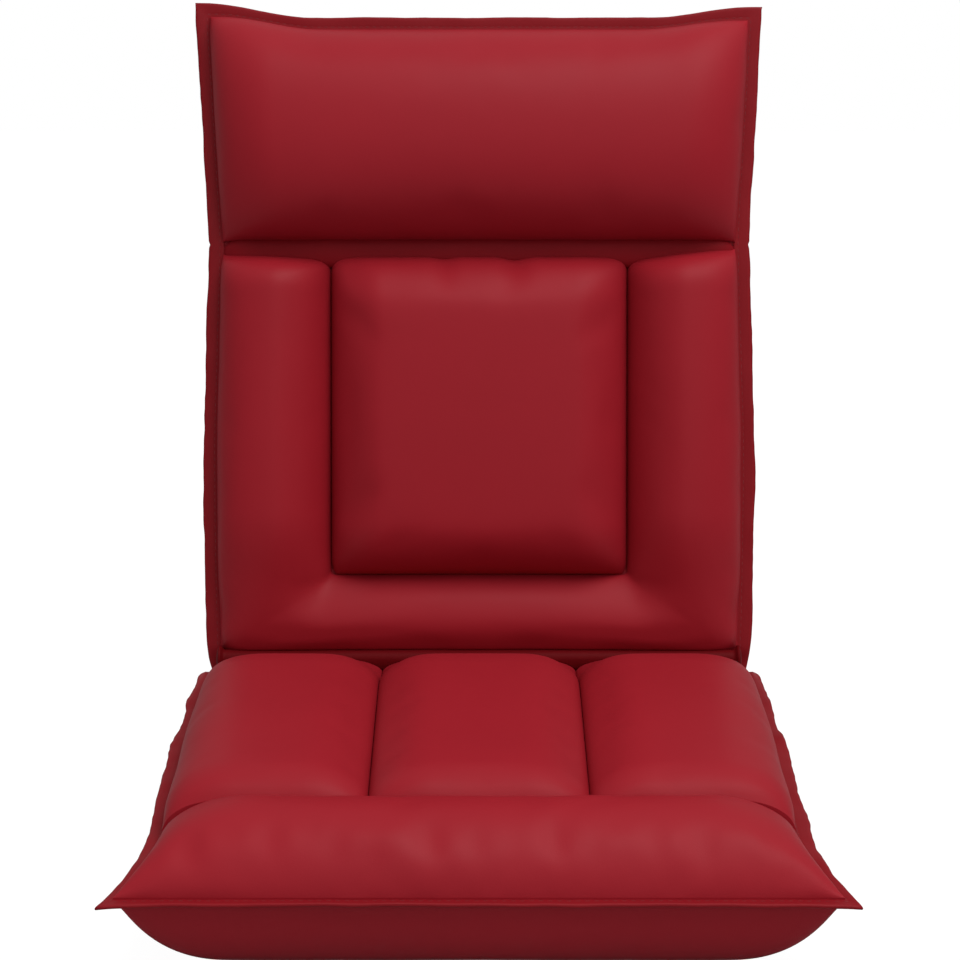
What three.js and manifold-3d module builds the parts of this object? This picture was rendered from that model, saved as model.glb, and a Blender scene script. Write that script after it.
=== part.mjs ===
// Folding floor chair: a padded seat, a padded back and a headrest on a jointed steel tube frame.
// Millimetres, +Z up, +X to the sitter's left. The sitter faces -Y.
//
// Every piece is drawn with the chair opened flat on the floor: the seat lies at y < 0, the back
// and the headrest at y > 0, and the crease runs along the X axis. The back is then turned up
// about the crease hinges to its upright position.
import * as THREE from 'three';
import { mergeVertices } from 'three/addons/utils/BufferGeometryUtils.js';
import Module from 'manifold-3d';

const wasm = await Module();
wasm.setup();

// Overall sizes
const seatDepth = 500; // from the crease to the front edge of the welt
const seatHalfWidth = 254; // to the side edge of the cushions, at the corners
const seatWaist = 4; // how far the seat's sides draw in at mid depth
const backSetIn = 7; // how far the back's cushions stand in from the seat's, each side
const backBelly = 3; // how far the back's sides swell at mid height
const headFlare = 9; // how far the headrest's sides spread toward its top corners
const headHingeAlong = 400; // from the crease to the headrest's hinge line
const headLength = 228; // from the headrest's hinge line to the top edge of the welt
const lowerDepth = 71; // depth of the lower cushions, from the welt's plane down to the floor
const uprightAngle = 77; // degrees that the back is turned up from flat

// Welts: the flat double hem that runs round the cushions
const weltWidth = 14;
const weltThickness = 3;
const weltTip = 7; // how far the corners of a welt are drawn out
const weltEndRadius = 6;

// Clearances
const gap = 0.3; // between pieces that touch
const partGap = 0.5; // between cushions that lie side by side
const bayGap = 0.8; // between a frame tube and the foam round it
const runningGap = 0.1; // round a pivot pin
const coreGap = 2; // between the core foam and the tubes round it

// Frame
const tubeRadius = 9.5;
const tubeWall = 1;
const tubeDepth = 11.5; // tube axis below the welt's plane
const frameInset = 36; // from the seat's side edge in to the side tubes and the hinges
const frameBendRadius = 45;
const seatFrameInset = 45; // from the seat's front edge back to the front tube
const headFrameInset = 44; // from the headrest's top edge down to the top tube
const crossTubeOffset = 32; // from the end of a side tube to the cross tube beside it
const strapWidth = 42;
const strapThickness = 1.2;
const strapTail = 10; // length of the strap's end turned in under the tube
const seatStrapShares = [0.33, 0.55, 0.77]; // of the way from the crease to the front tube
const backStrapShares = [0.35, 0.5, 0.65]; // of the way from the crease to the headrest's hinges
const headStrapShare = 0.6; // of the way from the headrest's hinges to the top tube

// Ratchet hinges: two across the crease and two at the headrest
const creasePivotRise = 14; // pivot above the welt's plane
const headPivotRise = 1;
const hubRadius = 7;
const armHalfHeight = 6.5;
const plateThickness = 2.8;
const toothLayer = 4.2;
const toothRootRadius = 20;
const toothTipRadius = 24;
const toothPitch = 11; // degrees
const positionCount = 14;
const firstGapAngle = 190; // degrees round the pivot, from +Y through +Z, with the chair flat
const gapSteepAngle = 2.5; // degrees from a gap's centre back to the steep face
const gapFloorAngle = 1; // degrees from a gap's centre on to the foot of the slope
const sectorMargin = 5.5; // degrees of solid sector beyond the end gaps
const pinRadius = 3.5;
const pinHeadRadius = 6;
const pinHeadThickness = 1.8;
const shoulderAngles = [40, 75]; // degrees round the hub to the corners where the bar leaves it
const plugLength = 24;
const plugShow = 3; // of the plug, between the bar and the tube's end
const tailRadius = 37.5;
const tailStartAngle = 184;
const tailEndAngle = 248;

// Pawls and their springs
const pawlPivotRadius = 29.4;
const pawlPivotAngle = 230;
const pawlBossRadius = 4.4;
const pawlPinRadius = 2.2;
const pawlInnerRadius = 25;
const pawlOuterRadius = 30;
const pawlLift = 14; // degrees that the pawl is lifted clear of the teeth
const springInnerRadius = 35;
const springThickness = 0.8;
const springStartAngle = 195;
const springEndAngle = 237;
const lugAngle = 6; // degrees that the spring's lug takes
const lugClear = 1; // degrees between the spring's end and the lug

// Seat cushions
const seatCrest = 54; // height of the channels above the welt's plane
const seatWedgeAngle = 20.5; // degrees that the channels rise from the crease
const channelHalfWidthRear = 93;
const channelHalfWidthFront = 86;
const channelGroove = 18; // depth of the grooves between channels
const grooveSpread = 46;
const seatEdgeSpread = 58;
const channelEndSpread = 30;
const rollDepth = 91; // front roll, front to rear
const rollCrest = 59;
const rollValley = 33; // height where the roll meets the channels
const rollEdgeSpread = 74;
const creaseClear = 9; // from the crease to the cushions
const edgeThickness = 2.5; // of a cushion at its sewn edge

// Back cushions
const backWedgeAngle = 16; // degrees that the lower bolster rises from the crease
const bolsterWidth = 103;
const bolsterFootWidth = 71;
const bolsterCrest = 52;
const bolsterEndSpread = 46;
const bolsterRoundness = 2.6; // 2 gives an oval section, more a fuller one
const lumbarCrest = 50;
const lumbarEdgeSpread = 46;
const headClear = 8.5; // from the headrest's hinge line to the cushions each side
const headCrest = 66;
const headEdgeSpread = 62;
const headRoundness = 2.4;

// Lower cushions
const lowerTuck = 62; // how far the underside draws in between the welt and the floor
const lowerCorner = 26;
const bayFloorDepth = 24; // floor of the frame's bay below the welt's plane
const slotReach = 38.5; // depth of a hinge slot below the pivot
const creaseHeadroom = 1.5; // height of a hinge slot above the pivot
const headHeadroom = 5;

// Gusset
const gussetThickness = 1.5;

// Resolution
const tubeSides = 12;
const bendSteps = 6;
const pinSides = 14;
const overrun = 2; // cuts run past their faces by this much

const backLength = headHingeAlong + headLength;
const backHalfWidth = seatHalfWidth - backSetIn;
const frameHalfWidth = seatHalfWidth - frameInset;
const seatFrameReach = seatDepth - seatFrameInset;
const headFrameReach = backLength - headFrameInset;
const creasePivot = new THREE.Vector2(0, lowerDepth + creasePivotRise);
const headPivot = new THREE.Vector2(headHingeAlong, lowerDepth + headPivotRise);
const tubeAxis = lowerDepth - tubeDepth;
const upperBase = lowerDepth + gap;
const plugRadius = tubeRadius - tubeWall - gap;
const plugStart = tailRadius + bayGap;
const tubeStart = plugStart + plugShow;
const bayHalfWidth = frameHalfWidth + tubeRadius + strapThickness + bayGap;
const slotHalfWidth = tubeRadius + bayGap;
const rollRear = -(seatDepth - weltWidth - rollDepth);
const headTop = backLength - weltWidth;

const radians = THREE.MathUtils.degToRad;
const round = (share) => Math.sqrt(Math.max(0, 1 - (1 - Math.min(share, 1)) ** 2));
const bow = (share) => 4 * share * (1 - share);
const polar = (radius, degrees) => new THREE.Vector2(
  radius * Math.cos(radians(degrees)),
  radius * Math.sin(radians(degrees)),
);

// Half width of the cushions at a place along the chair
function sideAt(y) {
  if (y < 0) return seatHalfWidth - seatWaist * bow(Math.min(-y / seatDepth, 1));
  if (y < headHingeAlong) return backHalfWidth + backBelly * bow(y / headHingeAlong);
  return backHalfWidth + headFlare * ((y - headHingeAlong) / (headTop - headHingeAlong)) ** 2;
}

// Solids from and to geometries
function solid(geometry) {
  const bare = geometry.clone();
  for (const name of ['normal', 'uv', 'uv1']) bare.deleteAttribute(name);
  const merged = mergeVertices(bare);
  const index = merged.index ?? merged.toNonIndexed().index;
  return new wasm.Manifold(new wasm.Mesh({
    numProp: 3,
    vertProperties: new Float32Array(merged.attributes.position.array),
    triVerts: new Uint32Array(index.array),
  }));
}

function geometryOf(body) {
  const mesh = body.getMesh();
  const geometry = new THREE.BufferGeometry();
  geometry.setAttribute('position', new THREE.BufferAttribute(mesh.vertProperties, 3));
  geometry.setIndex(new THREE.BufferAttribute(mesh.triVerts, 1));
  geometry.computeVertexNormals();
  return geometry;
}

function joined(...geometries) {
  return geometryOf(geometries.map(solid).reduce((sum, next) => sum.add(next)));
}

function cut(geometry, ...cutters) {
  return geometryOf(cutters.map(solid).reduce((left, next) => left.subtract(next), solid(geometry)));
}

function surface(points, triangles) {
  const geometry = new THREE.BufferGeometry();
  geometry.setAttribute(
    'position',
    new THREE.Float32BufferAttribute(points.flatMap((p) => [p.x, p.y, p.z]), 3),
  );
  geometry.setIndex(triangles.flat());
  geometry.computeVertexNormals();
  return geometry;
}

// The same geometry on the other side of the chair
function mirrored(geometry) {
  const twin = geometryOf(solid(geometry));
  const places = twin.attributes.position;
  for (let i = 0; i < places.count; i += 1) places.setX(i, -places.getX(i));
  const corners = twin.index.array;
  for (let i = 0; i < corners.length; i += 3) {
    [corners[i + 1], corners[i + 2]] = [corners[i + 2], corners[i + 1]];
  }
  twin.computeVertexNormals();
  return twin;
}

function block(x0, x1, y0, y1, z0, z1) {
  return new THREE.BoxGeometry(x1 - x0, y1 - y0, z1 - z0)
    .translate((x0 + x1) / 2, (y0 + y1) / 2, (z0 + z1) / 2);
}

// A closed body between loops of points that all have the same count, with flat ends
function loft(rings, flatten = (p) => new THREE.Vector2(p.x, p.y)) {
  const count = rings[0].length;
  const triangles = [];
  for (let k = 0; k + 1 < rings.length; k += 1) {
    for (let i = 0; i < count; i += 1) {
      const a = k * count + i;
      const b = k * count + ((i + 1) % count);
      triangles.push([a, b, b + count], [a, b + count, a + count]);
    }
  }
  const last = (rings.length - 1) * count;
  for (const [a, b, c] of THREE.ShapeUtils.triangulateShape(rings[0].map(flatten), [])) {
    triangles.push([a, c, b]);
  }
  for (const [a, b, c] of THREE.ShapeUtils.triangulateShape(rings.at(-1).map(flatten), [])) {
    triangles.push([last + a, last + b, last + c]);
  }
  return surface(rings.flat(), triangles);
}

// A cushion over a grid: plan gives x and y, height gives z, and the underside is flat
function cushion({ across, along, plan, height }) {
  const acrossCount = across.length;
  const alongCount = along.length;
  const top = [];
  for (const t of along) {
    for (const s of across) {
      const place = plan(s, t);
      top.push(new THREE.Vector3(place.x, place.y, upperBase + height(place, s, t)));
    }
  }
  const at = (i, j) => j * acrossCount + i;
  const triangles = [];
  for (let j = 0; j + 1 < alongCount; j += 1) {
    for (let i = 0; i + 1 < acrossCount; i += 1) {
      triangles.push([at(i, j), at(i + 1, j), at(i + 1, j + 1)]);
      triangles.push([at(i, j), at(i + 1, j + 1), at(i, j + 1)]);
    }
  }
  const rim = [];
  for (let i = 0; i < acrossCount - 1; i += 1) rim.push(at(i, 0));
  for (let j = 0; j < alongCount - 1; j += 1) rim.push(at(acrossCount - 1, j));
  for (let i = acrossCount - 1; i > 0; i -= 1) rim.push(at(i, alongCount - 1));
  for (let j = alongCount - 1; j > 0; j -= 1) rim.push(at(0, j));
  const under = rim.map((k) => new THREE.Vector3(top[k].x, top[k].y, upperBase));
  const first = top.length;
  rim.forEach((k, n) => {
    const next = (n + 1) % rim.length;
    triangles.push([k, first + n, first + next], [k, first + next, rim[next]]);
  });
  const outline = under.map((p) => new THREE.Vector2(p.x, p.y));
  for (const [a, b, c] of THREE.ShapeUtils.triangulateShape(outline, [])) {
    triangles.push([first + a, first + c, first + b]);
  }
  return surface([...top, ...under], triangles);
}

// Shares from 0 to 1, closer together toward both ends
function eased(count) {
  return Array.from({ length: count + 1 }, (_, i) => (1 - Math.cos((Math.PI * i) / count)) / 2);
}

// A tube through points in a level plane, with round bends at the inner points and open ends
function bentTube(places, bendRadius) {
  const stations = [];
  places.forEach((place, k) => {
    if (k === 0 || k === places.length - 1) {
      const other = places[k === 0 ? 1 : k - 1];
      const way = other.clone().sub(place).normalize().multiplyScalar(k === 0 ? 1 : -1);
      stations.push({ place, way });
      return;
    }
    const before = place.clone().sub(places[k - 1]).normalize();
    const after = places[k + 1].clone().sub(place).normalize();
    const turn = Math.atan2(before.x * after.y - before.y * after.x, before.dot(after));
    const setback = bendRadius * Math.tan(Math.abs(turn) / 2);
    const start = place.clone().addScaledVector(before, -setback);
    const side = new THREE.Vector2(-before.y, before.x).multiplyScalar(Math.sign(turn));
    const centre = start.clone().addScaledVector(side, bendRadius);
    for (let i = 0; i <= bendSteps; i += 1) {
      const angle = (turn * i) / bendSteps;
      stations.push({
        place: start.clone().rotateAround(centre, angle),
        way: before.clone().rotateAround(new THREE.Vector2(), angle),
      });
    }
  });
  const ring = ({ place, way }, radius) => Array.from({ length: tubeSides }, (_, i) => {
    const angle = (2 * Math.PI * i) / tubeSides;
    const reach = radius * Math.cos(angle);
    return new THREE.Vector3(
      place.x - way.y * reach,
      place.y + way.x * reach,
      tubeAxis + radius * Math.sin(angle),
    );
  });
  const loops = [
    ...stations.map((station) => ring(station, tubeRadius)),
    ...stations.toReversed().map((station) => ring(station, tubeRadius - tubeWall)),
  ];
  const triangles = [];
  loops.forEach((_, k) => {
    const next = (k + 1) % loops.length;
    for (let i = 0; i < tubeSides; i += 1) {
      const j = (i + 1) % tubeSides;
      const [a, b] = [k * tubeSides + i, k * tubeSides + j];
      const [c, d] = [next * tubeSides + j, next * tubeSides + i];
      triangles.push([a, b, c], [a, c, d]);
    }
  });
  return surface(loops.flat(), triangles);
}

function straightTube(x0, y0, x1, y1) {
  return bentTube([new THREE.Vector2(x0, y0), new THREE.Vector2(x1, y1)], frameBendRadius);
}

// A tube across the chair, between the two side tubes
function crossTube(y) {
  const end = frameHalfWidth - tubeRadius - gap;
  return straightTube(-end, y, end, y);
}

// A plate cut in the upright plane along the chair, from its outline, at a place across it
function plate(outline, x, thickness, holes = []) {
  const shape = new THREE.Shape(outline);
  shape.holes.push(...holes.map((hole) => new THREE.Path(hole)));
  const upright = new THREE.Matrix4().makeBasis(
    new THREE.Vector3(0, 1, 0),
    new THREE.Vector3(0, 0, 1),
    new THREE.Vector3(1, 0, 0),
  );
  return new THREE.ExtrudeGeometry(shape, { depth: thickness, bevelEnabled: false })
    .applyMatrix4(upright)
    .translate(x, 0, 0);
}

function circle(radius, centre = new THREE.Vector2(), sides = pinSides) {
  return Array.from({ length: sides }, (_, i) => polar(radius, (360 * i) / sides).add(centre));
}

// Points on an arc round the pivot
function arc(radius, start, end, steps) {
  const step = (end - start) / steps;
  return Array.from({ length: steps + 1 }, (_, i) => polar(radius, start + i * step));
}

// A cylinder along X, between two places across the chair
function pinAlong(radius, x0, x1, centre = new THREE.Vector2(), sides = pinSides) {
  return plate(circle(radius, centre, sides), x0, x1 - x0);
}

// The bar and plug that carry a hinge plate into a side tube: side is -1 toward the seat, 1 away
function hingeBar(side, rise, x) {
  const drop = -(tubeDepth + rise);
  const end = tubeStart - 2 * gap;
  const outline = [
    polar(hubRadius, 90),
    ...shoulderAngles.map((angle) => polar(hubRadius, 90 - side * angle)),
    new THREE.Vector2(side * end, drop + armHalfHeight),
    new THREE.Vector2(side * end, drop - armHalfHeight),
    new THREE.Vector2(side * plugStart, drop - armHalfHeight),
    polar(hubRadius, 270),
  ];
  const bar = plate(side > 0 ? outline.reverse() : outline, x, plateThickness);
  const plug = new THREE.CylinderGeometry(plugRadius, plugRadius, plugLength, tubeSides)
    .translate(0, side * (plugStart + plugLength / 2), drop);
  return joined(bar, plug);
}

const layerStart = -(plateThickness + toothLayer / 2);
const toothStart = -toothLayer / 2;
const toothEnd = toothLayer / 2 - gap / 2;
const coverStart = toothLayer / 2 + gap / 2;
const coverEnd = coverStart + plateThickness;

// Hinge plate with the toothed sector, on the side toward the seat
function toothedPlate(rise) {
  const teeth = [polar(toothTipRadius, firstGapAngle - gapSteepAngle - sectorMargin / 2)];
  for (let k = 0; k < positionCount; k += 1) {
    const centre = firstGapAngle + k * toothPitch;
    teeth.push(polar(toothTipRadius, centre - gapSteepAngle));
    teeth.push(polar(toothRootRadius, centre - gapSteepAngle));
    teeth.push(polar(toothRootRadius, centre + gapFloorAngle));
  }
  const end = firstGapAngle + (positionCount - 1) * toothPitch + sectorMargin;
  teeth.push(polar(toothTipRadius, end));
  const back = arc(hubRadius, end, 360 + firstGapAngle - gapSteepAngle - sectorMargin, bendSteps);
  const sector = plate([...teeth, ...back], toothStart - gap, toothEnd - toothStart + gap);
  const hole = pinAlong(pinRadius + runningGap, layerStart - overrun, coverEnd + overrun);
  return cut(joined(hingeBar(-1, rise, layerStart), sector), hole);
}

// Hinge plate that turns with the upper frame: it carries the pawl's pin and the spring's lug
function pawlPlate(rise) {
  const tail = plate([
    polar(pinRadius / 2, tailStartAngle - 180),
    ...arc(tailRadius, tailStartAngle, tailEndAngle, bendSteps),
  ], coverStart, plateThickness);
  const hub = pinAlong(hubRadius, coverStart, coverEnd);
  const pin = pinAlong(pawlPinRadius, toothStart + gap, coverStart + gap,
    polar(pawlPivotRadius, pawlPivotAngle), tubeSides);
  const lugStart = springEndAngle + lugClear;
  const lug = plate([
    ...arc(springInnerRadius + 2 * springThickness, lugStart, lugStart + lugAngle, 1),
    ...arc(pawlOuterRadius + 2 * springThickness, lugStart + lugAngle, lugStart + lugAngle / 2, 1),
  ], toothStart + gap, toothLayer);
  const hole = pinAlong(pinRadius + runningGap, layerStart - overrun, coverEnd + overrun);
  return cut(joined(hingeBar(1, rise, coverStart), hub, tail, pin, lug), hole);
}

// Curved pawl, drawn in the first gap and then lifted clear of the teeth about its pin
function pawl() {
  const pivot = polar(pawlPivotRadius, pawlPivotAngle);
  const tip = firstGapAngle - gapSteepAngle + gapFloorAngle / 2;
  const outline = [
    polar(toothRootRadius + gap, firstGapAngle + gapFloorAngle / 2),
    polar(pawlInnerRadius, firstGapAngle + gapFloorAngle + gapSteepAngle),
    ...arc(pawlInnerRadius, firstGapAngle + toothPitch, pawlPivotAngle, bendSteps - 2),
    ...arc(pawlOuterRadius, pawlPivotAngle, firstGapAngle, bendSteps - 2),
    polar(toothTipRadius + gap, tip),
    polar(toothRootRadius + gap, tip),
  ];
  const [start, thickness] = [toothStart + gap, toothEnd - toothStart - gap];
  const arm = plate(outline, start, thickness);
  const boss = plate(circle(pawlBossRadius, pivot), start, thickness);
  const bore = pinAlong(pawlPinRadius + runningGap, start - overrun, coverEnd, pivot, tubeSides);
  return cut(joined(arm, boss), bore)
    .translate(0, -pivot.x, -pivot.y)
    .rotateX(radians(pawlLift))
    .translate(0, pivot.x, pivot.y);
}

function pawlSpring() {
  return plate([
    ...arc(springInnerRadius, springStartAngle, springEndAngle, bendSteps),
    ...arc(springInnerRadius + springThickness, springEndAngle, springStartAngle, bendSteps),
  ].reverse(), toothStart + 2 * gap, toothLayer - 3 * gap);
}

function hingeRivet() {
  const profile = [
    [0, layerStart - gap - pinHeadThickness],
    [pinHeadRadius, layerStart - gap - pinHeadThickness],
    [pinHeadRadius, layerStart - gap],
    [pinRadius, layerStart - gap],
    [pinRadius, coverEnd + gap],
    [pinHeadRadius, coverEnd + gap],
    [pinHeadRadius, coverEnd + gap + pinHeadThickness],
    [0, coverEnd + gap + pinHeadThickness],
  ].map(([x, y]) => new THREE.Vector2(x, y));
  return new THREE.LatheGeometry(profile, pinSides).rotateZ(-Math.PI / 2);
}

// Room for a pair of hinges: the cut reaches from below the pivot to a height above it
function hingeSlots(pivot, headroom) {
  const reach = tubeStart + overrun;
  return [-frameHalfWidth, frameHalfWidth].map((x) => block(
    x - slotHalfWidth,
    x + slotHalfWidth,
    pivot.x - reach,
    pivot.x + reach,
    pivot.y - slotReach,
    pivot.y + headroom,
  ));
}
const creaseSlots = hingeSlots(creasePivot, creaseHeadroom);
const headSlots = hingeSlots(headPivot, headHeadroom);

// Webbing strap: it lies over both side tubes and turns in under them
function strap(y) {
  const wrap = (side, radius) => {
    const centre = new THREE.Vector2(side * frameHalfWidth, tubeAxis);
    const points = Array.from({ length: bendSteps + 1 }, (_, i) => (
      polar(radius, 90 - (side * 180 * i) / bendSteps).add(centre)
    ));
    const tail = new THREE.Vector2(side * (frameHalfWidth - strapTail), tubeAxis - radius);
    return [...points, tail];
  };
  const inner = tubeRadius + gap;
  const outer = inner + strapThickness;
  const outline = [
    ...wrap(-1, outer).reverse(),
    ...wrap(1, outer),
    ...wrap(1, inner).reverse(),
    ...wrap(-1, inner),
  ];
  return new THREE.ExtrudeGeometry(new THREE.Shape(outline), { depth: strapWidth, bevelEnabled: false })
    .rotateX(Math.PI / 2)
    .translate(0, y + strapWidth / 2, 0);
}

// Foam slab inside a frame, under its straps: way is the end where the frame bends, -1, 0 or 1
function coreFoam(y0, y1, way) {
  const half = frameHalfWidth - tubeRadius - strapThickness - coreGap;
  const base = lowerDepth - bayFloorDepth + gap;
  const chamfer = frameBendRadius / 2;
  const [low, high] = [y0 + coreGap, y1 - coreGap];
  const [cutLow, cutHigh] = [way < 0 ? chamfer : 0, way > 0 ? chamfer : 0];
  const right = [
    new THREE.Vector2(half - cutLow, low),
    new THREE.Vector2(half, low + cutLow),
    new THREE.Vector2(half, high - cutHigh),
    new THREE.Vector2(half - cutHigh, high),
  ];
  const left = right.map((p) => new THREE.Vector2(-p.x, p.y)).reverse();
  const outline = [...right, ...left].filter((p, i, all) => !p.equals(all.at(i - 1)));
  const depth = tubeAxis + tubeRadius - gap - base;
  return new THREE.ExtrudeGeometry(new THREE.Shape(outline), { depth, bevelEnabled: false })
    .translate(0, 0, base);
}

// Depths, as shares of the lower cushions' depth, at which their outline is drawn
const lowerDepthShares = [1, 0.99, 0.94, 0.84, 0.68, 0.45, 0.2, 0];

function lowerInset(depthShare) {
  return lowerTuck * (1 - Math.sqrt(1 - depthShare ** 2));
}

// Lower cushion: flat on the floor, drawn in all round where its edges are free
function lowerCushion({ low, high, tuckLow, tuckHigh }) {
  const sideShares = [0, 0.2, 0.4, 0.6, 0.8, 1];
  const cornerShares = [0, 0.25, 0.5, 0.75, 1];
  const rings = lowerDepthShares.map((depthShare) => {
    const tuck = lowerInset(depthShare);
    const y0 = low + (tuckLow ? tuck : 0);
    const y1 = high - (tuckHigh ? tuck : 0);
    const radius = lowerCorner + tuck / 3;
    const z = lowerDepth * (1 - depthShare);
    const half = [];
    const corner = (y, sign) => cornerShares.map((share) => {
      const angle = (share * Math.PI) / 2;
      const x = sideAt(y) - tuck - radius * (1 - Math.sin(angle));
      return new THREE.Vector3(x, y + sign * radius * (1 - Math.cos(angle)), z);
    });
    const start = y0 + (tuckLow ? radius : 0);
    const end = y1 - (tuckHigh ? radius : 0);
    if (tuckLow) half.push(...corner(y0, 1).slice(0, -1));
    for (const share of sideShares) {
      const y = start + (end - start) * share;
      half.push(new THREE.Vector3(sideAt(y) - tuck, y, z));
    }
    if (tuckHigh) half.push(...corner(y1, -1).slice(0, -1).reverse());
    const other = half.map((p) => new THREE.Vector3(-p.x, p.y, p.z)).reverse();
    return [...half, ...other];
  });
  return loft(rings);
}

// Room for a frame, open at the top
function frameBay(y0, y1) {
  return block(-bayHalfWidth, bayHalfWidth, y0, y1, lowerDepth - bayFloorDepth, lowerDepth + overrun);
}

function seamGroove(pivot, radius) {
  return pinAlong(radius + gap, -2 * backHalfWidth, 2 * backHalfWidth, pivot, 2 * tubeSides);
}

// Cushions on the seat
function wedgeHeight(distance, angle) {
  return creasePivotRise - gap + distance * Math.tan(radians(angle));
}

function grooveX(y) {
  const share = (-y - creaseClear) / (-rollRear - creaseClear);
  return channelHalfWidthRear + (channelHalfWidthFront - channelHalfWidthRear) * share;
}

function channelHeight(place, grooveDistances, edgeDistance) {
  const end = round((place.y - rollRear) / channelEndSpread);
  const front = rollValley + (seatCrest - rollValley) * end;
  const crest = Math.min(front, wedgeHeight(-place.y, seatWedgeAngle));
  const valley = Math.max(crest - channelGroove, edgeThickness);
  const dip = Math.min(...grooveDistances.map((d) => round(d / grooveSpread)));
  const body = valley + (crest - valley) * dip;
  return edgeThickness + (body - edgeThickness) * round(edgeDistance / seatEdgeSpread);
}

function seatChannel(side) {
  const low = rollRear + partGap;
  const plan = (s, t) => {
    const y = low + (-creaseClear - low) * t;
    const inner = grooveX(y) + partGap / 2;
    if (side === 0) return new THREE.Vector2((2 * s - 1) * (grooveX(y) - partGap / 2), y);
    const x = inner + (sideAt(y) - inner) * s;
    return new THREE.Vector2(side * x, y);
  };
  const height = (place) => {
    const groove = grooveX(place.y);
    const x = Math.abs(place.x);
    if (side === 0) return channelHeight(place, [groove - x], seatHalfWidth);
    return channelHeight(place, [x - groove], sideAt(place.y) - x);
  };
  const across = side < 0 ? eased(12).reverse() : eased(12);
  const pad = cushion({ across, along: eased(14), plan, height });
  return side === 0 ? pad : cut(pad, ...creaseSlots);
}

function frontRoll() {
  const low = -(seatDepth - weltWidth);
  const plan = (s, t) => {
    const y = low + (rollRear - low) * t;
    return new THREE.Vector2((2 * s - 1) * sideAt(y), y);
  };
  const height = (place, s, t) => {
    const rear = t > 0.5 ? rollValley : edgeThickness;
    const body = rear + (rollCrest - rear) * round(1 - Math.abs(2 * t - 1));
    const ends = round((sideAt(place.y) - Math.abs(place.x)) / rollEdgeSpread);
    return edgeThickness + (body - edgeThickness) * ends;
  };
  return cushion({ across: eased(24), along: eased(14), plan, height });
}

// Cushions on the back
function backBolster() {
  const top = headHingeAlong - headClear;
  const foot = creaseClear;
  const armShares = [0, 0.05, 0.13, 0.26, 0.45, 0.63, 0.8, 0.92];
  const footCount = 12;
  const outer = [];
  const inner = [];
  const innerX = backHalfWidth - bolsterWidth;
  const innerY = foot + bolsterFootWidth;
  const right = armShares.map((share) => [
    new THREE.Vector2(sideAt(top + (foot - top) * share), top + (foot - top) * share),
    new THREE.Vector2(innerX, top + (innerY - top) * share),
  ]);
  for (const [o, i] of right) {
    outer.push(new THREE.Vector2(-o.x, o.y));
    inner.push(new THREE.Vector2(-i.x, i.y));
  }
  for (let k = 0; k <= footCount; k += 1) {
    const share = (2 * k) / footCount - 1;
    outer.push(new THREE.Vector2(share * sideAt(foot), foot));
    inner.push(new THREE.Vector2(share * innerX, innerY));
  }
  for (const [o, i] of right.toReversed()) {
    outer.push(o);
    inner.push(i);
  }
  const plan = (s, t) => inner[t].clone().lerp(outer[t], s);
  const height = (place, s) => {
    const belly = (1 - Math.abs(2 * s - 1) ** bolsterRoundness) ** (1 / bolsterRoundness);
    const end = round((top - place.y) / bolsterEndSpread);
    const full = edgeThickness + (bolsterCrest - edgeThickness) * belly * end;
    return Math.min(full, wedgeHeight(place.y, backWedgeAngle));
  };
  const pad = cushion({ across: eased(10), along: outer.map((_, i) => i), plan, height });
  return cut(pad, ...creaseSlots, ...headSlots);
}

function lumbarPad() {
  const halfWidth = backHalfWidth - bolsterWidth - partGap;
  const low = creaseClear + bolsterFootWidth + partGap;
  const high = headHingeAlong - headClear;
  const plan = (s, t) => new THREE.Vector2((2 * s - 1) * halfWidth, low + (high - low) * t);
  const height = (place) => {
    const sides = round((halfWidth - Math.abs(place.x)) / lumbarEdgeSpread);
    const ends = round(Math.min(place.y - low, high - place.y) / lumbarEdgeSpread);
    const full = edgeThickness + (lumbarCrest - edgeThickness) * sides * ends;
    return Math.min(full, wedgeHeight(place.y, backWedgeAngle));
  };
  return cushion({ across: eased(12), along: eased(12), plan, height });
}

function headPillow() {
  const low = headHingeAlong + headClear;
  const plan = (s, t) => {
    const y = low + (headTop - low) * t;
    return new THREE.Vector2((2 * s - 1) * sideAt(y), y);
  };
  const height = (place, s, t) => {
    const belly = (1 - Math.abs(2 * t - 1) ** headRoundness) ** (1 / headRoundness);
    const sides = round((sideAt(place.y) - Math.abs(place.x)) / headEdgeSpread);
    return edgeThickness + (headCrest - edgeThickness) * belly * sides;
  };
  return cut(cushion({ across: eased(22), along: eased(16), plan, height }), ...headSlots);
}

// Welts
function weltSolid(outline) {
  return new THREE.ExtrudeGeometry(new THREE.Shape(outline), { depth: weltThickness, bevelEnabled: false })
    .translate(0, 0, lowerDepth - weltThickness / 2);
}

const weltShares = [0, 0.1, 0.25, 0.5, 0.75, 0.9, 1];

// A welt along the right side of the cushions
function sideWelt(y0, y1) {
  const at = (share) => y0 + (y1 - y0) * share;
  const seat = (y) => sideAt(y) + gap;
  const outer = weltShares.map((share) => {
    const taper = Math.min(at(share) - y0, y1 - at(share)) < weltEndRadius ? weltEndRadius : 0;
    return new THREE.Vector2(sideAt(at(share)) + weltWidth - taper, at(share));
  });
  const inner = weltShares.toReversed().map((share) => new THREE.Vector2(seat(at(share)), at(share)));
  return weltSolid([...outer, ...inner]);
}

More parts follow.
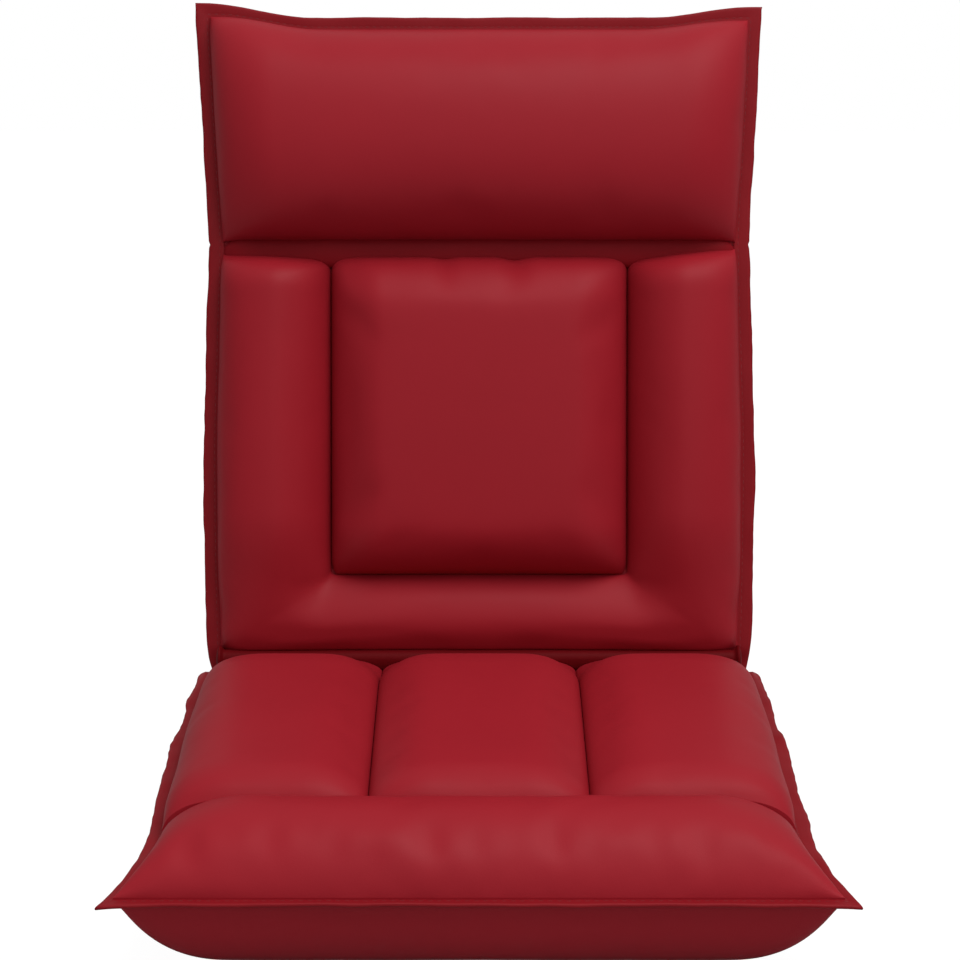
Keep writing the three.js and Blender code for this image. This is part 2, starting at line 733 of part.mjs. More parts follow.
// A welt across the chair: way is -1 along the seat's front and 1 along the headrest's top
function endWelt(edge, way) {
  const half = sideAt(edge) + weltWidth + weltTip;
  const shares = [-1, -0.94, -0.8, -0.4, 0, 0.4, 0.8, 0.94, 1];
  const outer = shares.map((share) => new THREE.Vector2(
    share * half,
    edge + way * (weltWidth + weltTip * share ** 6),
  ));
  const inner = shares.toReversed().map((share) => new THREE.Vector2(
    share * (half - weltWidth / 2),
    edge + way * gap,
  ));
  const outline = [...outer, ...inner];
  return weltSolid(way < 0 ? outline : outline.reverse());
}

// Gusset that closes the back of the crease: the lower cushions' end profile, turned about the
// crease hinges from the seat round to the upright back, as a thin sheet of cloth
function rearGusset() {
  const side = Math.min(sideAt(-gap), sideAt(gap));
  const half = lowerDepthShares.map((share) => new THREE.Vector2(
    side - lowerInset(share),
    creasePivotRise + lowerDepth * share - gap,
  ));
  const flipped = (p) => new THREE.Vector2(-p.x, p.y);
  const lining = half.map((p, i) => {
    const before = i > 0 ? half[i - 1] : flipped(p);
    const way = (half[i + 1] ?? p).clone().sub(before).normalize();
    return new THREE.Vector2(p.x + way.y * gussetThickness, p.y - way.x * gussetThickness);
  });
  const loop = [
    ...half.toReversed(),
    ...half.map(flipped),
    ...lining.toReversed().map(flipped),
    ...lining,
  ];
  const rings = Array.from({ length: bendSteps + 1 }, (_, i) => {
    const angle = radians((uprightAngle * i) / bendSteps - 90);
    return loop.map((p) => new THREE.Vector3(p.x, p.y * Math.cos(angle), p.y * Math.sin(angle)));
  });
  return loft(rings, (p) => new THREE.Vector2(p.x, Math.hypot(p.y, p.z)));
}

// Finishes
const leather = new THREE.Color().setRGB(0.31, 0.013, 0.02);
const finish = (color, roughness, metalness) => (
  new THREE.MeshStandardMaterial({ color, roughness, metalness })
);
const finishes = {
  cover: finish(leather, 0.45, 0),
  welt: finish(leather.clone().multiplyScalar(0.8), 0.5, 0),
  foam: finish(new THREE.Color(0.86, 0.8, 0.62), 0.95, 0),
  tube: finish(new THREE.Color(0.09, 0.09, 0.1), 0.4, 0.6),
  zinc: finish(new THREE.Color(0.6, 0.61, 0.62), 0.35, 1),
  spring: finish(new THREE.Color(0.35, 0.36, 0.38), 0.3, 1),
  strap: finish(new THREE.Color(0.03, 0.03, 0.035), 0.85, 0),
};

function piece(name, geometry, material) {
  const mesh = new THREE.Mesh(geometry, material.clone());
  mesh.name = name;
  return mesh;
}

// The four hinges: name of the pair, its pivot, and the pieces on each side of it
function hingePair(prefix, pivot, rise) {
  const sides = [['left', 1], ['right', -1]];
  const make = (name, geometry, material) => sides.map(([side, sign]) => {
    const mesh = piece(`${prefix}_${name}_${side}`, sign > 0 ? geometry : mirrored(geometry), material);
    mesh.position.set(sign * frameHalfWidth, pivot.x, pivot.y);
    return mesh;
  });
  return {
    lower: [
      ...make('toothed_plate', toothedPlate(rise), finishes.zinc),
      ...make('rivet', hingeRivet(), finishes.zinc),
    ],
    upper: [
      ...make('pawl_plate', pawlPlate(rise), finishes.zinc),
      ...make('pawl_spring', pawlSpring(), finishes.spring),
      ...make('pawl', pawl(), finishes.spring),
    ],
  };
}

const creaseHinges = hingePair('crease_hinge', creasePivot, creasePivotRise);
const headHinges = hingePair('head_hinge', headPivot, headPivotRise);

function seatPieces() {
  const front = -(seatDepth - weltWidth);
  const rear = -(tubeStart - bayGap);
  const cross = -(tubeStart + crossTubeOffset);
  const foamFront = -(seatFrameReach - tubeRadius);
  const frame = [
    new THREE.Vector2(frameHalfWidth, -tubeStart),
    new THREE.Vector2(frameHalfWidth, -seatFrameReach),
    new THREE.Vector2(-frameHalfWidth, -seatFrameReach),
    new THREE.Vector2(-frameHalfWidth, -tubeStart),
  ];
  const lower = lowerCushion({ low: front, high: -gap, tuckLow: true, tuckHigh: false });
  const bay = frameBay(-(seatFrameReach + tubeRadius + bayGap), rear);
  return [
    piece('seat_underside_cushion', cut(lower, bay, ...creaseSlots), finishes.cover),
    piece('seat_frame_tube', bentTube(frame, frameBendRadius), finishes.tube),
    piece('seat_cross_tube', crossTube(cross), finishes.tube),
    piece('seat_core_foam', coreFoam(foamFront, cross - tubeRadius, -1), finishes.foam),
    ...seatStrapShares.map((share, i) => (
      piece(`seat_strap_${i + 1}`, strap(-seatFrameReach * share), finishes.strap)
    )),
    piece('seat_channel_left', seatChannel(1), finishes.cover),
    piece('seat_channel_middle', seatChannel(0), finishes.cover),
    piece('seat_channel_right', seatChannel(-1), finishes.cover),
    piece('seat_front_roll', frontRoll(), finishes.cover),
    piece('seat_welt_left', sideWelt(front + gap, -creaseClear), finishes.welt),
    piece('seat_welt_right', mirrored(sideWelt(front + gap, -creaseClear)), finishes.welt),
    piece('seat_welt_front', endWelt(front, -1), finishes.welt),
    piece('crease_seam_roll', seamRoll(creasePivot, creaseClear - gap), finishes.welt),
    piece('rear_gusset', rearGusset().translate(0, creasePivot.x, creasePivot.y), finishes.cover),
    ...creaseHinges.lower,
  ];
}

function seamRoll(pivot, radius) {
  const half = frameHalfWidth - slotHalfWidth - gap;
  return pinAlong(radius, -half, half, pivot, tubeSides);
}

function backPieces() {
  const start = tubeStart;
  const end = headHingeAlong - tubeStart;
  const crossPlaces = [start + crossTubeOffset, end - crossTubeOffset];
  const lower = lowerCushion({ low: gap, high: headHingeAlong - gap, tuckLow: false, tuckHigh: false });
  const bay = frameBay(start - bayGap, end + bayGap);
  const rail = (side) => straightTube(side * frameHalfWidth, start, side * frameHalfWidth, end);
  const core = coreFoam(crossPlaces[0] + tubeRadius, crossPlaces[1] - tubeRadius, 0);
  const carved = cut(lower, bay, ...creaseSlots, ...headSlots, seamGroove(headPivot, headClear));
  const welt = sideWelt(creaseClear, headHingeAlong - gap);
  return [
    piece('back_rear_cushion', carved, finishes.cover),
    piece('back_rail_left', rail(1), finishes.tube),
    piece('back_rail_right', rail(-1), finishes.tube),
    ...['lower', 'upper'].map((which, i) => (
      piece(`back_cross_tube_${which}`, crossTube(crossPlaces[i]), finishes.tube)
    )),
    piece('back_core_foam', core, finishes.foam),
    ...backStrapShares.map((share, i) => (
      piece(`back_strap_${i + 1}`, strap(headHingeAlong * share), finishes.strap)
    )),
    piece('back_bolster', backBolster(), finishes.cover),
    piece('lumbar_pad', lumbarPad(), finishes.cover),
    piece('back_welt_left', welt, finishes.welt),
    piece('back_welt_right', mirrored(welt), finishes.welt),
    piece('head_seam_roll', seamRoll(headPivot, headClear - gap), finishes.welt),
    ...creaseHinges.upper,
    ...headHinges.lower,
  ];
}

function headPieces() {
  const start = headHingeAlong + tubeStart;
  const frame = [
    new THREE.Vector2(frameHalfWidth, start),
    new THREE.Vector2(frameHalfWidth, headFrameReach),
    new THREE.Vector2(-frameHalfWidth, headFrameReach),
    new THREE.Vector2(-frameHalfWidth, start),
  ];
  const lower = lowerCushion({ low: headHingeAlong + gap, high: headTop, tuckLow: false, tuckHigh: true });
  const bay = frameBay(start - bayGap, headFrameReach + tubeRadius + bayGap);
  const carved = cut(lower, bay, ...headSlots, seamGroove(headPivot, headClear));
  const welt = sideWelt(headHingeAlong + gap, headTop - gap);
  const strapPlace = headHingeAlong + (headFrameReach - headHingeAlong) * headStrapShare;
  return [
    piece('head_rear_cushion', carved, finishes.cover),
    piece('head_frame_tube', bentTube(frame, frameBendRadius), finishes.tube),
    piece('head_core_foam', coreFoam(start, headFrameReach - tubeRadius, 1), finishes.foam),
    piece('head_strap', strap(strapPlace), finishes.strap),
    piece('head_pillow', headPillow(), finishes.cover),
    piece('head_welt_left', welt, finishes.welt),
    piece('head_welt_right', mirrored(welt), finishes.welt),
    piece('head_welt_top', endWelt(headTop, 1), finishes.welt),
    ...headHinges.upper,
  ];
}

const chair = new THREE.Group();
chair.position.y = seatDepth / 2;
chair.add(...seatPieces());

// The back and headrest are turned up about the crease hinges
const back = new THREE.Group();
back.position.set(0, creasePivot.x, creasePivot.y);
back.rotation.x = radians(uprightAngle);
const flat = new THREE.Group();
flat.position.set(0, -creasePivot.x, -creasePivot.y);
flat.add(...backPieces(), ...headPieces());
back.add(flat);
chair.add(back);

export default chair;
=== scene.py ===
"""Looks for a folding floor chair: stuffed covers, flanges, seams, frame finishes and a plain studio."""

import logging
import math
from dataclasses import dataclass
from enum import Enum
from typing import Callable, Sequence

import bmesh
import bpy
import numpy as np
from mathutils import Matrix, Vector, noise


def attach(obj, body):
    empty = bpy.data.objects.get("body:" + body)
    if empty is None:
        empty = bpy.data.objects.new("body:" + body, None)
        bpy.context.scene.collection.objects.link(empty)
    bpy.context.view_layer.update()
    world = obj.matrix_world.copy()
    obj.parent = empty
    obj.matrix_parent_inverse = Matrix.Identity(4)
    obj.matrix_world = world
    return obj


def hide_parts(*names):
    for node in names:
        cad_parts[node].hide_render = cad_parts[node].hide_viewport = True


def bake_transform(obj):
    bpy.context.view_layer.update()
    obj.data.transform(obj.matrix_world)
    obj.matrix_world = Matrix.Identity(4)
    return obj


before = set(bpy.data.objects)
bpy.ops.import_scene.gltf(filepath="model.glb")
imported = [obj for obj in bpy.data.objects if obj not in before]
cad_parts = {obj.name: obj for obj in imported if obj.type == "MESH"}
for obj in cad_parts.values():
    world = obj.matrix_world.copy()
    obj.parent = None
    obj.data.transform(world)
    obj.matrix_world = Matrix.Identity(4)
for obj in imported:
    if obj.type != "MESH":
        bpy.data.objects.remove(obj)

log = logging.getLogger("floor_chair")
Point = tuple[float, float, float]
Flat = tuple[float, float]
Surface = Callable[[float, float], Point]
Keep = Callable[[np.ndarray], np.ndarray]
Freedom = Callable[[np.ndarray], np.ndarray]


@dataclass(frozen=True)
class ChairSizes:
    """Sizes shared by the sub-assemblies, in metres, with the chair opened flat from its crease."""

    crease_along: float = 0.25
    crease_rise: float = 0.085
    upright: float = math.radians(77.0)
    seam_plane: float = 0.071
    pad_base: float = 0.0713
    pad_edge: float = 0.0025
    flange_width: float = 0.014
    flange_thickness: float = 0.0030
    frame_half: float = 0.218
    tube_axis: float = 0.0595
    tube_radius: float = 0.0095
    shell_tuck: float = 0.062


CHAIR = ChairSizes()


class Lie(Enum):
    """How a shape drawn flat is laid at rest: with the seat, or turned up with the back."""

    SEAT = "seat"
    BACK = "back"


def at_rest(points: np.ndarray, lie: Lie) -> np.ndarray:
    """Moves points from the flat drawing to where they are at rest.

    Args:
        points: Rows of x, distance along the chair and height, drawn flat.
        lie: Whether they belong to the seat or to the back.

    Returns:
        The same rows in the shared frame.
    """
    moved = points.astype(float).copy()
    if lie is Lie.SEAT:
        moved[:, 1] += CHAIR.crease_along
        return moved
    along = points[:, 1]
    rise = points[:, 2] - CHAIR.crease_rise
    cosine, sine = math.cos(CHAIR.upright), math.sin(CHAIR.upright)
    moved[:, 1] = along * cosine - rise * sine + CHAIR.crease_along
    moved[:, 2] = along * sine + rise * cosine + CHAIR.crease_rise
    return moved


class Taper:
    """A smooth curve through a few places and values."""

    def __init__(self, *knots: Flat) -> None:
        """Keeps the knots in the order of their places."""
        self.places = [k[0] for k in knots]
        self.values = [k[1] for k in knots]

    def __call__(self, place: float) -> float:
        """Finds the curve's value, which is held level beyond the ends.

        Args:
            place: Where along the curve.

        Returns:
            The value there.
        """
        p, v = self.places, self.values
        if place <= p[0]:
            return v[0]
        if place >= p[-1]:
            return v[-1]
        i = next(k for k in range(len(p) - 1) if place <= p[k + 1])
        span = p[i + 1] - p[i]
        t = (place - p[i]) / span
        rise = (v[i + 1] - v[i]) / span
        before = (v[i] - v[i - 1]) / (p[i] - p[i - 1]) if i > 0 else rise
        after = (v[i + 2] - v[i + 1]) / (p[i + 2] - p[i + 1]) if i + 2 < len(p) else rise
        m0 = 0.0 if before * rise < 0 else (before + rise) / 2
        m1 = 0.0 if after * rise < 0 else (after + rise) / 2
        h00 = 2 * t**3 - 3 * t**2 + 1
        h10 = t**3 - 2 * t**2 + t
        return h00 * v[i] + h10 * span * m0 + (1 - h00) * v[i + 1] + (t**3 - t**2) * span * m1


def round_share(share: float, power: float = 2.0) -> float:
    """How far a rounded edge has risen, from 0 at the seam to 1 on the crest."""
    inward = 1 - min(max(share, 0.0), 1.0)
    return max(0.0, 1 - inward**power) ** (1 / power)


def soft_min(a: float, b: float, blend: float) -> float:
    """The lesser of two heights, with the corner between them rounded over a height."""
    h = min(max(0.5 + (b - a) / (2 * blend), 0.0), 1.0)
    return b * (1 - h) + a * h - blend * h * (1 - h)


def ease(share: float) -> float:
    """Smooth step from 0 to 1."""
    t = min(max(share, 0.0), 1.0)
    return t * t * (3 - 2 * t)


def near_seam(distance: np.ndarray, reach: float, least: float) -> np.ndarray:
    """Share of its move that a point keeps near a groove, where the cover is drawn down."""
    t = np.clip(distance / reach, 0.0, 1.0)
    return least + (1 - least) * t * t * (3 - 2 * t)


def ripple(x: float, y: float, pitch: float, seed: float) -> float:
    """Even, repeatable unevenness between about -1 and 1."""
    return noise.noise(Vector((x / pitch, y / pitch, seed)))


def spaced(count: int, length: float, low: float, high: float, rise: float) -> list[float]:
    """Places along a panel, evenly spread over its surface where its ends are rounded.

    Args:
        count: How many strips the panel has.
        length: Length of the panel in plan.
        low: Length in plan of the rounded end at the start.
        high: Length in plan of the rounded end at the finish.
        rise: Height of the panel's crest.

    Returns:
        Places from 0 to length.
    """
    steps = 400
    line = [length * (1 - math.cos(math.pi * k / steps)) / 2 for k in range(steps + 1)]
    heights = []
    for place in line:
        start = round_share(place / low) if low > 0 else 1.0
        end = round_share((length - place) / high) if high > 0 else 1.0
        heights.append(rise * min(start, end))
    run = [0.0]
    for k in range(steps):
        run.append(run[-1] + math.hypot(line[k + 1] - line[k], heights[k + 1] - heights[k]))
    return [float(np.interp(run[-1] * i / count, run, line)) for i in range(count + 1)]


# Half widths between the side seams, against the distance from the crease.
SEAT_SEAM = Taper(
    (0.000, 0.2560), (0.130, 0.2545), (0.225, 0.2530), (0.300, 0.2485), (0.350, 0.2465),
    (0.390, 0.2450), (0.425, 0.2460), (0.455, 0.2500), (0.475, 0.2560), (0.487, 0.2610),
    (0.494, 0.2640),
)
BACK_SEAM = Taper(
    (0.000, 0.2502), (0.100, 0.2522), (0.200, 0.2530), (0.300, 0.2502), (0.400, 0.2474),
    (0.440, 0.2490), (0.480, 0.2513), (0.540, 0.2548), (0.580, 0.2572), (0.606, 0.2592),
)


def mesh_object(name: str, points: np.ndarray, faces: Sequence[Sequence[int]]) -> bpy.types.Object:
    """Makes a smooth-shaded mesh object.

    Args:
        name: Name of the new piece.
        points: Rows of x, y and z.
        faces: Each face's points, by their row.

    Returns:
        The object, linked to the scene.
    """
    mesh = bpy.data.meshes.new(name)
    mesh.from_pydata([tuple(p) for p in points], [], [tuple(f) for f in faces])
    mesh.update()
    for polygon in mesh.polygons:
        polygon.use_smooth = True
    made = bpy.data.objects.new(name, mesh)
    bpy.context.scene.collection.objects.link(made)
    return made


def points_of(mesh: bpy.types.Mesh) -> np.ndarray:
    """Reads a mesh's points.

    Args:
        mesh: The mesh.

    Returns:
        Rows of x, y and z.
    """
    rows = np.zeros(len(mesh.vertices) * 3)
    mesh.vertices.foreach_get("co", rows)
    return rows.reshape(-1, 3)


def put_points(mesh: bpy.types.Mesh, points: np.ndarray) -> None:
    """Moves a mesh's points to new places."""
    mesh.vertices.foreach_set("co", points.ravel())
    mesh.update()


def refine(made: bpy.types.Object, levels: int) -> None:
    """Applies a subdivision surface to a mesh object.

    Args:
        made: The mesh object, whose mesh is replaced.
        levels: How often each face is divided.
    """
    modifier = made.modifiers.new("Refine", "SUBSURF")
    modifier.levels = levels
    modifier.render_levels = levels
    modifier.boundary_smooth = "PRESERVE_CORNERS"
    bpy.context.view_layer.update()
    graph = bpy.context.evaluated_depsgraph_get()
    finer = bpy.data.meshes.new_from_object(made.evaluated_get(graph))
    made.modifiers.clear()
    old = made.data
    made.data = finer
    finer.name = made.name
    bpy.data.meshes.remove(old)


@dataclass(frozen=True)
class Stuffing:
    """How a panel is blown up against its seams."""

    pressure: float = 4.0
    cap: float = 0.006
    slack: float = 0.015
    relax: int = 6
    frames: int = 20
    stiffness: float = 15.0
    bending: float = 0.4
    quality: int = 6
    mass: float = 0.2


def relaxed(move: np.ndarray, across: int, passes: int) -> np.ndarray:
    """Takes the sharpest creases out of a grid of moves, and leaves the broad folds.

    Args:
        move: One row of three values for each point of the grid, row by row.
        across: How many points a row has.
        passes: How often each point is averaged with its neighbours.

    Returns:
        The smoothed moves.
    """
    grid = move.reshape(-1, across, 3).copy()
    for _ in range(passes):
        padded = np.pad(grid, ((1, 1), (1, 1), (0, 0)), mode="edge")
        ends = padded[:-2, 1:-1] + padded[2:, 1:-1] + padded[1:-1, :-2] + padded[1:-1, 2:]
        grid[1:-1, 1:-1] = (grid * 0.5 + ends * 0.125)[1:-1, 1:-1]
    return grid.reshape(-1, 3)


def swell(
    made: bpy.types.Object,
    across: int,
    held: Sequence[int],
    stuffing: Stuffing,
    keep: Keep | None,
    freedom: Freedom | None,
) -> None:
    """Blows a panel up by air pressure while its seams are held, and keeps the result.

    Args:
        made: The panel, drawn flat.
        across: How many points one row of the panel's grid has.
        held: The points along its seams.
        stuffing: Pressure, spare cloth and the furthest that a point may move.
        keep: Holds moved points on their own side of the seams, or None.
        freedom: Says for each starting point what share of its move it keeps, or None.
    """
    start = points_of(made.data)
    group = made.vertex_groups.new(name="held")
    group.add(list(held), 1.0, "REPLACE")
    modifier = made.modifiers.new("Swell", "CLOTH")
    cloth = modifier.settings
    cloth.quality = stuffing.quality
    cloth.mass = stuffing.mass
    cloth.tension_stiffness = stuffing.stiffness
    cloth.compression_stiffness = stuffing.stiffness
    cloth.shear_stiffness = stuffing.stiffness / 3
    cloth.bending_stiffness = stuffing.bending
    cloth.use_pressure = True
    cloth.uniform_pressure_force = stuffing.pressure
    cloth.shrink_min = -stuffing.slack
    cloth.vertex_group_mass = group.name
    cloth.effector_weights.gravity = 0.0
    modifier.point_cache.frame_start = 1
    modifier.point_cache.frame_end = stuffing.frames
    for step in range(1, stuffing.frames + 1):
        bpy.context.scene.frame_set(step)
    graph = bpy.context.evaluated_depsgraph_get()
    blown = points_of(made.evaluated_get(graph).data)
    made.modifiers.clear()
    made.vertex_groups.clear()
    bpy.context.scene.frame_set(1)
    move = relaxed(blown - start, across, stuffing.relax)
    if freedom is not None:
        move *= freedom(start)[:, None]
    length = np.maximum(np.linalg.norm(move, axis=1, keepdims=True), 1e-9)
    end = start + move * (stuffing.cap * np.tanh(length / stuffing.cap) / length)
    if keep is not None:
        end = keep(end)
    fixed = list(held)
    end[fixed] = start[fixed]
    put_points(made.data, end)
    furthest = float(np.linalg.norm(end - start, axis=1).max())
    log.info("%s swelled by up to %.1f mm", made.name, 1000 * furthest)


@dataclass(frozen=True)
class Panel:
    """A stuffed panel, drawn flat as a grid with sewn edges, swollen, refined and closed underneath."""

    name: str
    lie: Lie
    columns: int
    rows: int
    surface: Surface
    base: float
    stuffing: Stuffing
    keep: Keep | None = None
    freedom: Freedom | None = None
    bends: Sequence[float] = ()

    def build(self) -> bpy.types.Object:
        """Makes the panel.

        Returns:
            The closed mesh object, where it is at rest.
        """
        across, along = self.columns + 1, self.rows + 1
        grid = [self.surface(i / self.columns, j / self.rows) for j in range(along) for i in range(across)]
        quads = []
        for j in range(self.rows):
            for i in range(self.columns):
                a = j * across + i
                quads.append((a, a + 1, a + 1 + across, a + across))
        if self.faces_inward(grid, across):
            quads = [quad[::-1] for quad in quads]
        made = mesh_object(self.name, np.array(grid), quads)
        edge = [
            j * across + i
            for j in range(along)
            for i in range(across)
            if i in (0, self.columns) or j in (0, self.rows)
        ]
        swell(made, across, edge, self.stuffing, self.keep, self.freedom)
        refine(made, 1)
        self.close(made)
        put_points(made.data, at_rest(points_of(made.data), self.lie))
        return made

    def faces_inward(self, grid: Sequence[Point], across: int) -> bool:
        """Tells whether the grid's faces look toward the panel's base, so that air would push them in.

        Args:
            grid: The panel's points, row by row.
            across: How many points a row has.

        Returns:
            True where they look toward the base.
        """
        a = (self.rows // 2) * across + self.columns // 2
        corner = Vector(grid[a])
        way = (Vector(grid[a + 1]) - corner).cross(Vector(grid[a + across]) - corner)
        return way.z * (corner.z - self.base) < 0

    def close(self, made: bpy.types.Object) -> None:
        """Draws the panel's edge down to its base and closes it there.

        Args:
            made: The open panel, drawn flat.
        """
        work = bmesh.new()
        work.from_mesh(made.data)
        rim = [e for e in work.edges if e.is_boundary]
        walls = bmesh.ops.extrude_edge_only(work, edges=rim)["geom"]
        for vert in (g for g in walls if isinstance(g, bmesh.types.BMVert)):
            vert.co.z = self.base
        for e in rim:
            e.smooth = False
        low = [g for g in walls if isinstance(g, bmesh.types.BMEdge) and g.is_boundary]
        floor = bmesh.ops.edgeloop_fill(work, edges=low)["faces"]
        for e in low:
            e.smooth = False
        for place in self.bends:
            edges = dict.fromkeys(e for f in floor for e in f.edges)
            corners = dict.fromkeys(v for f in floor for v in f.verts)
            parts = [*floor, *edges, *corners]
            bmesh.ops.bisect_plane(work, geom=parts, plane_co=(0.0, place, 0.0), plane_no=(0.0, 1.0, 0.0))
            floor = [f for f in work.faces if all(abs(v.co.z - self.base) < 1e-6 for v in f.verts)]
        bmesh.ops.recalc_face_normals(work, faces=work.faces)
        for face in work.faces:
            face.smooth = True
        work.to_mesh(made.data)
        work.free()


@dataclass(frozen=True)
class Station:
    """One place along a flange: its seam, its free edge, and how wavy it is there."""

    seam: Flat
    free: Flat
    wave: float


@dataclass(frozen=True)
class Wave:
    """One size of waviness along a hem."""

    height: float
    pitch: float
    row: float
    seed: float

    def at(self, run: float, seed: float) -> float:
        """The wave's height at a run along a hem that has a seed of its own."""
        return self.height * ripple(run, self.row, self.pitch, seed + self.seed)


@dataclass(frozen=True)
class Flange:
    """A flat double hem that stands out from a seam, with a row of stitches along it."""

    name: str
    lie: Lie
    stations: Sequence[Station]
    seed: float
    tail_drop: float = 0.0
    tail_start: float = 0.010
    tail_length: float = 0.018
    lifts: Sequence[Wave] = (Wave(0.0022, 0.032, 0.0, 0.0), Wave(0.0030, 0.070, 0.5, 7.0))
    draws: Sequence[Wave] = (Wave(0.0024, 0.042, 3.0, 3.0), Wave(0.0009, 0.012, 5.0, 0.0))
    lift_power: float = 1.3
    stitch_share: float = 0.22
    stitch_rise: float = 0.72
    stitch_radii: Sequence[float] = (0.0002, 0.00035, 0.00035, 0.0002)

    def shape(self) -> list[Flat]:
        """Draws the hem's section.

        Returns:
            Shares of the way out from the seam, each with a height.
        """
        half = CHAIR.flange_thickness / 2
        top = [(-0.12, 0.8), (0.0, 0.95), (0.14, 0.90), (0.22, 0.78), (0.30, 0.90), (0.45, 1.0),
               (0.70, 1.05), (0.86, 1.10), (0.95, 0.85), (1.0, 0.35)]
        upper = [(share, half * height) for share, height in top]
        lower = [(share, -half * height) for share, height in reversed(top)]
        return upper + lower

    def lift(self, run: float, station: Station) -> float:
        """How far the free edge stands above its plane, at a run along the flange."""
        return station.wave * sum(wave.at(run, self.seed) for wave in self.lifts)

    def draw(self, run: float, station: Station) -> float:
        """How far the free edge is drawn in or out, at a run along the flange."""
        return station.wave * sum(wave.at(run, self.seed) for wave in self.draws)

    def runs(self) -> list[float]:
        """Adds up the seam's length.

        Returns:
            The length up to each station.
        """
        total = [0.0]
        for a, b in zip(self.stations, self.stations[1:]):
            total.append(total[-1] + math.dist(a.seam, b.seam))
        return total

    def place(self, run: float, station: Station, share: float, height: float) -> Point:
        """Finds a point of the hem in the flat drawing.

        Args:
            run: Length of the seam up to the station.
            station: The place along the hem.
            share: Share of the way out from the seam.
            height: Height above the seam's plane, before the waviness.

        Returns:
            The point.
        """
        seam, free = Vector(station.seam), Vector(station.free)
        out = (free - seam).normalized()
        spot = seam.lerp(free, share) + out * self.draw(run, station) * max(share, 0.0)
        rise = self.lift(run, station) * max(share, 0.0) ** self.lift_power
        rise -= self.tail_drop * ease((self.tail_start - spot.y) / self.tail_length)
        return (spot.x, spot.y, CHAIR.seam_plane + height + rise)

    def build(self) -> bpy.types.Object:
        """Makes the hem as one swept body.

        Returns:
            The closed mesh object, where it is at rest.
        """
        section = self.shape()
        count = len(section)
        points = [
            self.place(run, station, share, height)
            for run, station in zip(self.runs(), self.stations)
            for share, height in section
        ]
        faces = []
        for k in range(len(self.stations) - 1):
            for i in range(count):
                a, b = k * count + i, k * count + (i + 1) % count
                faces.append((a, b, b + count, a + count))
        last = (len(self.stations) - 1) * count
        faces.append(tuple(reversed(range(count))))
        faces.append(tuple(range(last, last + count)))
        made = mesh_object(self.name, at_rest(np.array(points), self.lie), faces)
        orient(made)
        return made

    def stitches(self, name: str, pitch: float = 0.0066) -> bpy.types.Object:
        """Makes the row of stitches that shows on both faces of the hem.

        Args:
            name: Name of the new piece.
            pitch: Length from one stitch to the next.

        Returns:
            One mesh object with every stitch.
        """
        runs = self.runs()
        half = CHAIR.flange_thickness / 2
        points: list[Point] = []
        faces: list[tuple[int, ...]] = []
        for k in range(1, int(runs[-1] / pitch)):
            ends = []
            for shift in (-0.27, -0.12, 0.12, 0.27):
                run = (k + shift) * pitch
                i = max(1, next(n for n, r in enumerate(runs) if r >= run))
                share = (run - runs[i - 1]) / max(runs[i] - runs[i - 1], 1e-9)
                a, b = self.stations[i - 1], self.stations[i]
                mixed = Station(
                    tuple(Vector(a.seam).lerp(Vector(b.seam), share)),
                    tuple(Vector(a.free).lerp(Vector(b.free), share)),
                    a.wave + (b.wave - a.wave) * share,
                )
                ends.append((run, mixed))
            for side in (1, -1):
                rise = side * half * self.stitch_rise
                centres = [Vector(self.place(run, s, self.stitch_share, rise)) for run, s in ends]
                add_stitch(points, faces, centres, self.stitch_radii)
        made = mesh_object(name, at_rest(np.array(points), self.lie), faces)
        orient(made)
        return made


def add_stitch(
    points: list[Point], faces: list[tuple[int, ...]], centres: Sequence[Vector], radii: Sequence[float]
) -> None:
    """Adds one short thread with rounded ends to lists of points and faces.

    Args:
        points: The stitches' points so far.
        faces: The stitches' faces so far.
        centres: Points along the middle of the thread.
        radii: Its radius at each of them.
    """
    sides = 6
    first = len(points)
    way = (centres[-1] - centres[0]).normalized()
    across = way.cross(Vector((0, 0, 1))).normalized()
    up = across.cross(way)
    for centre, radius in zip(centres, radii):
        for i in range(sides):
            angle = 2 * math.pi * i / sides
            spot = centre + across * (radius * math.cos(angle)) + up * (radius * math.sin(angle))
            points.append(tuple(spot))
    for k in range(len(centres) - 1):
        for i in range(sides):
            a, b = first + k * sides + i, first + k * sides + (i + 1) % sides
            faces.append((a, b, b + sides, a + sides))
    last = first + (len(centres) - 1) * sides
    faces.append(tuple(first + i for i in reversed(range(sides))))
    faces.append(tuple(last + i for i in range(sides)))


def orient(made: bpy.types.Object) -> None:
    """Turns a closed mesh's faces outward.

    Args:
        made: The mesh object.
    """
    work = bmesh.new()
    work.from_mesh(made.data)
    bmesh.ops.recalc_face_normals(work, faces=work.faces)
    work.to_mesh(made.data)
    work.free()


def tube_between(name: str, lie: Lie, rings: Sequence[Sequence[Point]]) -> bpy.types.Object:
    """Makes a closed body through rings of points that all have the same count.

    Args:
        name: Name of the new piece.
        lie: Whether it lies with the seat or with the back.
        rings: The rings, from one end to the other, drawn flat.

    Returns:
        The closed mesh object, where it is at rest.
    """
    count = len(rings[0])
    points = [p for ring in rings for p in ring]
    faces = []
    for k in range(len(rings) - 1):
        for i in range(count):
            a, b = k * count + i, k * count + (i + 1) % count
            faces.append((a, b, b + count, a + count))
    last = (len(rings) - 1) * count
    faces.append(tuple(reversed(range(count))))
    faces.append(tuple(range(last, last + count)))
    made = mesh_object(name, at_rest(np.array(points), lie), faces)
    orient(made)
    return made


